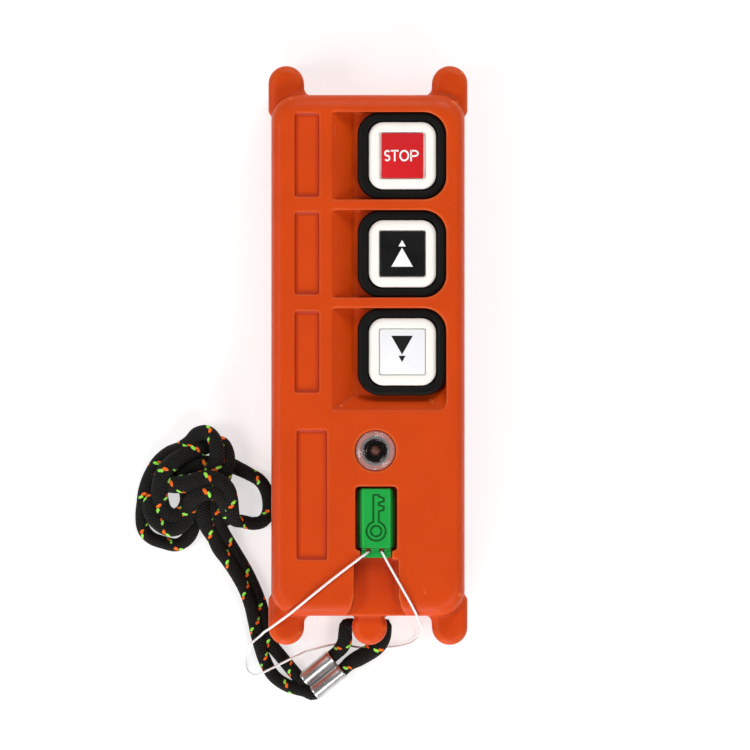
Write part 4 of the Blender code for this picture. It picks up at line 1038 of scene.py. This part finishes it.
def ferrule_frame():
    """Turns a piece made along +Z to lie flat on the ground, along the ferrule's axis."""
    along = Vector((math.cos(FERRULE_ANGLE), math.sin(FERRULE_ANGLE), 0))
    across = Vector((-along.y, along.x, 0))
    start = Vector((*FERRULE_CENTRE, FERRULE_Z)) - along * FERRULE_LENGTH / 2
    return Matrix.Translation(start * MM) @ Matrix((-across, Vector((0, 0, 1)), along)).transposed().to_4x4()


def add_ferrule():
    """Double-barrel crimp ferrule with rolled ends, pressed in along its middle."""
    half = FERRULE_PITCH / 2
    waist = math.degrees(math.acos(min(1.0, half / FERRULE_R))) + 14
    outline = (arc(half, 0, FERRULE_R, -180 + waist, 180 - waist, 28)
               + arc(-half, 0, FERRULE_R, waist, 360 - waist, 28))
    stages = ((0.55, 0.15), (0.12, 0.0), (0.02, 0.12), (0.0, 0.35), (0.0, 0.9), (0.1, 1.5), (0.12, 4.7),
              (0.1, 7.9), (0.0, 8.5), (0.0, 9.05), (0.02, 9.28), (0.12, 9.4), (0.55, 9.25))
    ferrule = loft("crimp_ferrule", [(inset(outline, by), z) for by, z in stages],
                   metal("plated_brass", (0.62, 0.61, 0.6), 0.32, grain=0.0))
    ferrule.data.transform(ferrule_frame())
    ferrule.data.shade_smooth()
    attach(ferrule, "case")
    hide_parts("ferrule")
    return ferrule


# ================================================================ buttons
def square(y, half, radius, steps=32):
    return rounded_rect(BUTTON_X, y, half, half, radius, steps)


def rolled(low, high, from_z, to_z, steps=6):
    """Half sizes and heights round a quarter circle, from the wall at low to the top at high."""
    points = []
    for i in range(steps + 1):
        angle = math.pi / 2 * i / steps
        points.append((low + (high - low) * (1 - math.cos(angle)),
                       from_z + (to_z - from_z) * math.sin(angle)))
    return points


RIM_BULGE = (0.45, 0.15, 0.15, 0.2)   # left, right, down and up
INK_Z = (25.9, 25.95)    # a print's underside, just in the tile, and its top


def add_boot(key, y, look):
    top = 25.0
    outer = [(9.05, 18.7), (9.05, 21.5), (RING_HALF, 21.7), *rolled(RING_HALF, RING_HALF - 0.9, 24.0, top)]
    inner = [(9.45, top), (9.1, 24.93), (8.85, 24.7), (8.8, 24.3), (8.8, 18.7)]

    def ring(half):
        """The rim bulges a little past the CAD ring, most on the slope's side."""
        left, right, low, high = RIM_BULGE if half > 9.6 else (0, 0, 0, 0)
        return rounded_box(BUTTON_X - half - left, BUTTON_X + half + right, y - half - low, y + half + high,
                           RING_R - (RING_HALF - half))

    sections = [(ring(half), z) for half, z in outer + inner]
    boot = ring_loft(f"{key}_boot_ring", sections, look)
    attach(boot, "case")
    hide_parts(f"{key}_boot")


def add_cap(key, y, look):
    """Cap with a rolled edge, a raised frame and a seat for the tile, on its stem."""
    def radius(half):
        return 0.5 + (CAP_R - 0.5) * max(0.0, (half - 5.95) / (CAP_HALF - 5.95))

    wall = [(CAP_HALF - 0.2, CAP_BOTTOM), (CAP_HALF, CAP_BOTTOM + 0.2),
            *rolled(CAP_HALF, CAP_HALF - 1.15, 24.7, FACE_Z, 8)]
    seat = [(6.35, FACE_Z), (6.1, FACE_Z - 0.04), (5.98, FACE_Z - 0.16), (5.95, 25.15)]
    bm = bmesh.new()
    add_loft(bm, [(square(y, half, radius(half)), z) for half, z in wall + seat])
    stem = circle(BUTTON_X, y, 2.4, 32)
    add_loft(bm, [(stem, STEM_BOTTOM), (stem, CAP_BOTTOM + 0.1)])
    cap = new_mesh(f"{key}_cap_moulding", bm, look)
    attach(cap, f"{key}_button")
    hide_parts(f"{key}_cap")


def add_tile(key, y, slot, colour, wide=1.0):
    profile = ((TILE_HALF, 25.2), (TILE_HALF, 25.8), (TILE_HALF - 0.04, 25.88), (TILE_HALF - 0.12, 25.92))
    sections = [(rounded_rect(BUTTON_X, y, half * wide, half, 0.5, 5), z) for half, z in profile]
    tile = loft(f"{key}_inlay", sections, plastic(f"{key}_inlay", colour, 0.38, 0.04, 0.008))
    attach(tile, f"{key}_button")
    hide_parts(f"{key}_tile")


def add_print(key, name, shapes, look):
    """Ink on a tile: shapes are outlines in millimetres."""
    bm = bmesh.new()
    for outline in shapes:
        add_loft(bm, [(outline, z) for z in INK_Z])
    ink = new_mesh(name, bm, look)
    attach(ink, f"{key}_button")


def triangle(y, base, tip, half):
    """A triangle whose base and tip are heights above the tile's middle."""
    x = BUTTON_X - 0.1
    return [(x - half, y + base), (x + half, y + base), (x, y + tip)] if tip > base else [
        (x + half, y + base), (x - half, y + base), (x, y + tip)]


STROKE = 0.42
LETTER_HIGH = 2.48
# Each letter's left edge, from the middle of the tile, and its width.
LETTERS = ((-4.5, 1.35), (-2.95, 1.95), (-0.6, 2.1), (2.2, 1.75))


def stroke(points, width=STROKE, closed=False):
    """Outline of a line of even width through points."""
    count = len(points)
    left, right = [], []
    for i, here in enumerate(points):
        before = points[i - 1] if closed or i else here
        after = points[(i + 1) % count] if closed or i < count - 1 else here
        a = (Vector(here) - Vector(before)).normalized()
        b = (Vector(after) - Vector(here)).normalized()
        along = (a + b).normalized() if (a + b).length > 1e-6 else a
        reach = width / 2 / max(0.4, along.dot(b if b.length else a))
        left.append((here[0] - along.y * reach, here[1] + along.x * reach))
        right.append((here[0] + along.y * reach, here[1] - along.x * reach))
    return left, right


def stop_letters(y):
    """The word's four letters as outlines of strokes: generic plain lettering."""
    lines = []

    def put(index, points):
        left, wide = LETTERS[index]
        lines.append([(BUTTON_X + left + px * wide, y + (py - 0.5) * LETTER_HIGH) for px, py in points])

    def oval(x, y, half_x, half_y, degrees):
        turns = [math.radians(angle) for angle in degrees]
        return [(x + half_x * math.cos(a), y + half_y * math.sin(a)) for a in turns]

    bowl = oval(0.5, 0.5, 0.5, 0.5, range(0, 361, 15))
    upper = oval(0.46, 0.74, 0.42, 0.26, range(30, 271, 20))
    lower = oval(0.46, 0.25, 0.42, 0.25, range(90, -151, -20))
    put(0, upper + lower)
    put(1, [(0.0, 1.0), (1.0, 1.0)])
    put(1, [(0.5, 1.0), (0.5, -0.08)])
    put(2, bowl)
    put(3, [(0.0, -0.08), (0.0, 1.08)])
    put(3, [(0.0, 1.0), (0.5, 1.0), (0.8, 0.95), (0.96, 0.84), (1.0, 0.72), (0.95, 0.6), (0.8, 0.5),
            (0.5, 0.45), (0.0, 0.45)])
    return lines


def add_letters(key, y, look):
    """The letters, each stroke a run of thin bars that overlap at the bends."""
    bm = bmesh.new()
    for line in stop_letters(y):
        left, right = stroke(line)
        for i in range(len(line) - 1):
            outline = [left[i], right[i], right[i + 1], left[i + 1]]
            add_loft(bm, [(outline, z) for z in INK_Z])
    bmesh.ops.remove_doubles(bm, verts=bm.verts, dist=1e-4)
    letters = new_mesh("stop_lettering", bm, look)
    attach(letters, f"{key}_button")


def add_buttons():
    boot_look = rubber("boot_rubber")
    cap_look = plastic("cap_white", (0.9, 0.87, 0.82), 0.36, 0.025, 0.01)
    white = plastic("ink_white", (0.88, 0.88, 0.9), 0.4, 0.02, 0.004)
    black = plastic("ink_black", (0.01, 0.01, 0.01), 0.4, 0.02, 0.004)
    colours = {"stop": ("tile_red", (0.6, 0.014, 0.018), 0.93), "up": ("tile_black", (0.006, 0.006, 0.006)),
               "down": ("tile_grey", (0.86, 0.86, 0.88))}
    for key, y in BUTTON_YS.items():
        add_boot(key, y, boot_look)
        add_cap(key, y, cap_look)
        add_tile(key, y, *colours[key])
    y = BUTTON_YS["up"]
    add_print("up", "up_arrows", [triangle(y, -3.3, 1.55, 2.75), triangle(y, 1.85, 3.5, 0.95)],
              white)
    y = BUTTON_YS["down"]
    add_print("down", "down_arrows", [triangle(y, 4.1, -0.7, 2.75), triangle(y, -1.0, -2.6, 0.9)],
              black)
    add_letters("stop", BUTTON_YS["stop"], white)


# ================================================================ case
def add_shells():
    orange = housing_look((0.595, 0.054, 0.002))
    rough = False
    front = moulded(front_shell(), 0.5 if rough else 0.3, 0.3 if rough else 0.16, orange)
    rear = moulded(rear_shell(), 0.6 if rough else 0.38, 0.3 if rough else 0.2, orange)
    cover = moulded(battery_cover(), 0.3, 0.2, orange)
    for piece, name in ((front, "front_shell"), (rear, "rear_shell"), (cover, "battery_cover")):
        piece.name = f"{name}_moulding"
        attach(piece, "case")
        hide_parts(name)


# ================================================================ lamp
def add_lamp():
    lens = clear("lens_clear", (0.97, 0.86, 0.86), 0.03, 1.3)
    middle = Vector((*LAMP, FACE_Z)) * MM
    away = lens.node("VectorMath", [(0, lens.place()), (1, middle)], operation="DISTANCE").outputs[1]
    lens.put(lens.shader.inputs["Transmission Weight"], lens.ramp(away, 2.9 * MM, 3.3 * MM, 1.0, 0.86))
    profile = [(3.35, 22.4), (3.35, 24.9), (LENS_R - 0.1, 24.95), (LENS_R, 25.1), (LENS_R, 25.55),
               *rolled(LENS_R, LENS_R - 0.7, 25.55, 26.1, 5), (4.0, 26.28), (3.75, 26.4), (3.5, 26.46),
               (3.2, 26.42), (3.0, 26.3), (2.6, 26.38), (1.8, 26.5), (0.9, 26.57), (0.02, 26.6)]
    inside = [(0.02, 25.6), (1.6, 25.55), (2.4, 25.4), (2.9, 25.2), (2.9, 22.4)]
    sections = [(circle(*LAMP, r, 64), z) for r, z in profile + inside]
    dome = ring_loft("lamp_lens_dome", sections, lens)
    holder = ring_loft("lamp_collar", [(circle(*LAMP, r, 48), z) for r, z in (
        (2.7, 20.3), (2.75, 24.8), (2.6, 25.05), (2.2, 25.05), (1.85, 24.6), (1.75, 20.3))],
        plastic("collar_black", (0.002, 0.002, 0.002), 0.6, 0.1, 0.01))
    led_look = clear("led_resin", (0.25, 0.105, 0.07), 0.1, 1.5, 0.3)
    led = turned("lamp_led_dome", LAMP, [(1.9, 19.3), (1.9, 20.1), (1.5, 20.15), (1.5, 23.4), (1.4, 24.0),
                                         (1.1, 24.5), (0.65, 24.8), (0.2, 24.9), (0.02, 24.9)], led_look)
    for piece, node, slot in ((dome, "lamp_lens", "lens_clear"), (holder, "lamp_holder", "holder_black"),
                              (led, "lamp_led", "led_resin")):
        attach(piece, "case")
        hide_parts(node)


# ================================================================ key
BOW_Y = -44.76
BOW_R = (2.45, 1.35)
SHAFT_HALF = 0.7
ENGRAVED = 0.5          # width of the engraved line
ENGRAVED_DEEP = 0.3


def key_line():
    """The middle of the engraved outline: the bow, the shaft and two bits on its right."""
    x = KEY_X
    meet = math.degrees(math.asin(SHAFT_HALF / BOW_R[0]))
    bow = arc(x, BOW_Y, BOW_R[0], 90 + meet, 450 - meet, 40)
    shaft = [(x + SHAFT_HALF, -39.65), (x + 1.95, -39.4), (x + 1.95, -38.45), (x + SHAFT_HALF, -38.2),
             (x + SHAFT_HALF, -37.5), (x + 1.95, -37.2), (x + 1.95, -36.35), (x + SHAFT_HALF, -36.0),
             (x + SHAFT_HALF, -35.5), (x - SHAFT_HALF, -35.5)]
    return bow + shaft


def ribbon(name, line, low, high):
    left, right = stroke(line, ENGRAVED, True)
    return ring_loft(name, [(left, low), (left, high), (right, high), (right, low)])


def add_key():
    x = KEY_X
    low, high = KEY_Y

    def block(half, in_by, radius):
        return rounded_box(x - half, x + half, low + in_by, high - in_by, radius, 8)

    body = loft("magnetic_key_moulding", [
        (block(KEY_BASE_HALF, 0, 0.8), KEY_FLOOR + GAP), (block(KEY_BASE_HALF, 0, 0.8), 23.2),
        (block(4.25, 0, 0.8), 23.45), (block(4.25, 0, 0.8), 24.3), (block(KEY_PANEL_HALF, 0.05, 0.7), 24.45),
        (block(KEY_PANEL_HALF, 0.05, 0.7), 25.3), (block(KEY_PANEL_HALF - 0.3, 0.35, 0.5), 25.65)])
    join(body, prism("key_tab", rounded_box(x - KEY_TAB_HALF, x + KEY_TAB_HALF, KEY_TAB_Y, low + 1, 0.4, 5),
                     *KEY_TAB_Z))
    top = 25.65
    circle_line = circle(x, BOW_Y, BOW_R[1], 40)
    cut(body, *[cylinder(f"key_hole_{i}", (hole, KEY_HOLE_Y), KEY_HOLE_R, 21, 25.0, steps=24)
                for i, hole in enumerate(KEY_HOLES)],
        cylinder("key_plug_seat", (x, -41.7), 3.7, KEY_FLOOR - 1, 22.6, steps=32),
        ribbon("key_engraving", key_line(), top - ENGRAVED_DEEP, top + 1),
        ribbon("bow_engraving", circle_line, top - ENGRAVED_DEEP, top + 1))
    look = key_look("key_green", (0.012, 0.34, 0.05))
    key = moulded(body, 0.11, 0.35, look, 2)
    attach(key, "key")
    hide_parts("magnetic_key")


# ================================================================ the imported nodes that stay
def dress_nodes():
    steel = metal("screw_steel", (0.6, 0.6, 0.6), 0.3)
    nickel = metal("contact_nickel", (0.75, 0.73, 0.7), 0.2)
    chip = plastic("chip_epoxy", (0.02, 0.02, 0.022), 0.55, 0.1, 0.03)
    white = plastic("plunger_white", (0.85, 0.84, 0.8), 0.4, 0.03, 0.01)
    seal = rubber("seal_rubber")
    looks = {
        "case_seal": seal,
        "battery_cover_seal": seal,
        "key_magnet": nickel,
        "radio_module": metal("can_tin", (0.68, 0.68, 0.66), 0.25),
        "crystal": steel,
        "main_board": board_look("solder_mask"),
        "antenna_coil": metal("copper_wire", (0.8, 0.42, 0.22), 0.3),
        "key_plug": plastic("plug_green", (0.015, 0.34, 0.055), 0.45, 0.05, 0.02),
        "battery_lead_positive": plastic("lead_red", (0.6, 0.02, 0.02), 0.5, 0.04, 0.01),
        "battery_lead_negative": rubber("lead_black"),
        "microcontroller": chip,
        "hall_sensor": chip,
        "lamp_ribbon": chip,
    }
    looks["lamp_board"] = looks["main_board"]
    looks["cell_left"] = looks["cell_right"] = cell_look("cell_sleeve")
    for name in ("contact_positive", "contact_negative", "contact_link",
                 "cell_spring_lower", "cell_spring_upper"):
        looks[name] = nickel
    for number in range(1, 5):
        looks[f"case_screw_{number}"] = steel
    for number in (1, 2):
        looks[f"cover_screw_{number}"] = steel
    for key in BUTTON_YS:
        looks[f"{key}_switch"] = chip
        looks[f"{key}_plunger"] = white
    for name, look in looks.items():
        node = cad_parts[name]
        node.data.materials.clear()
        node.data.materials.append(look.material)
        bevel = node.modifiers.new("worn_edge", "BEVEL")
        bevel.width = 0.08 * MM
        bevel.segments = 2
        bevel.limit_method = "ANGLE"
        bevel.harden_normals = False
    return steel


def add_springs(look):
    """Return springs: fine coils, one under each button."""
    for key, y in BUTTON_YS.items():
        turns, low, high, radius = 3.5, 10.2, 13.25, 2.3
        count = int(turns * 28)
        path = []
        for i in range(count + 1):
            angle = 2 * math.pi * turns * i / count
            path.append(Vector((BUTTON_X + radius * math.cos(angle), y + radius * math.sin(angle),
                                low + (high - low) * i / count)))
        spring, _ = cord_tube(f"{key}_return_spring", path, lambda place, length: 0.21, look, 10)
        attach(spring, "case")
        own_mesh(spring)
        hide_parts(f"{key}_spring")


add_camera()
add_studio()
add_cords()
add_buttons()
add_lamp()
add_key()
add_springs(dress_nodes())
add_shells()
bpy.context.view_layer.update()
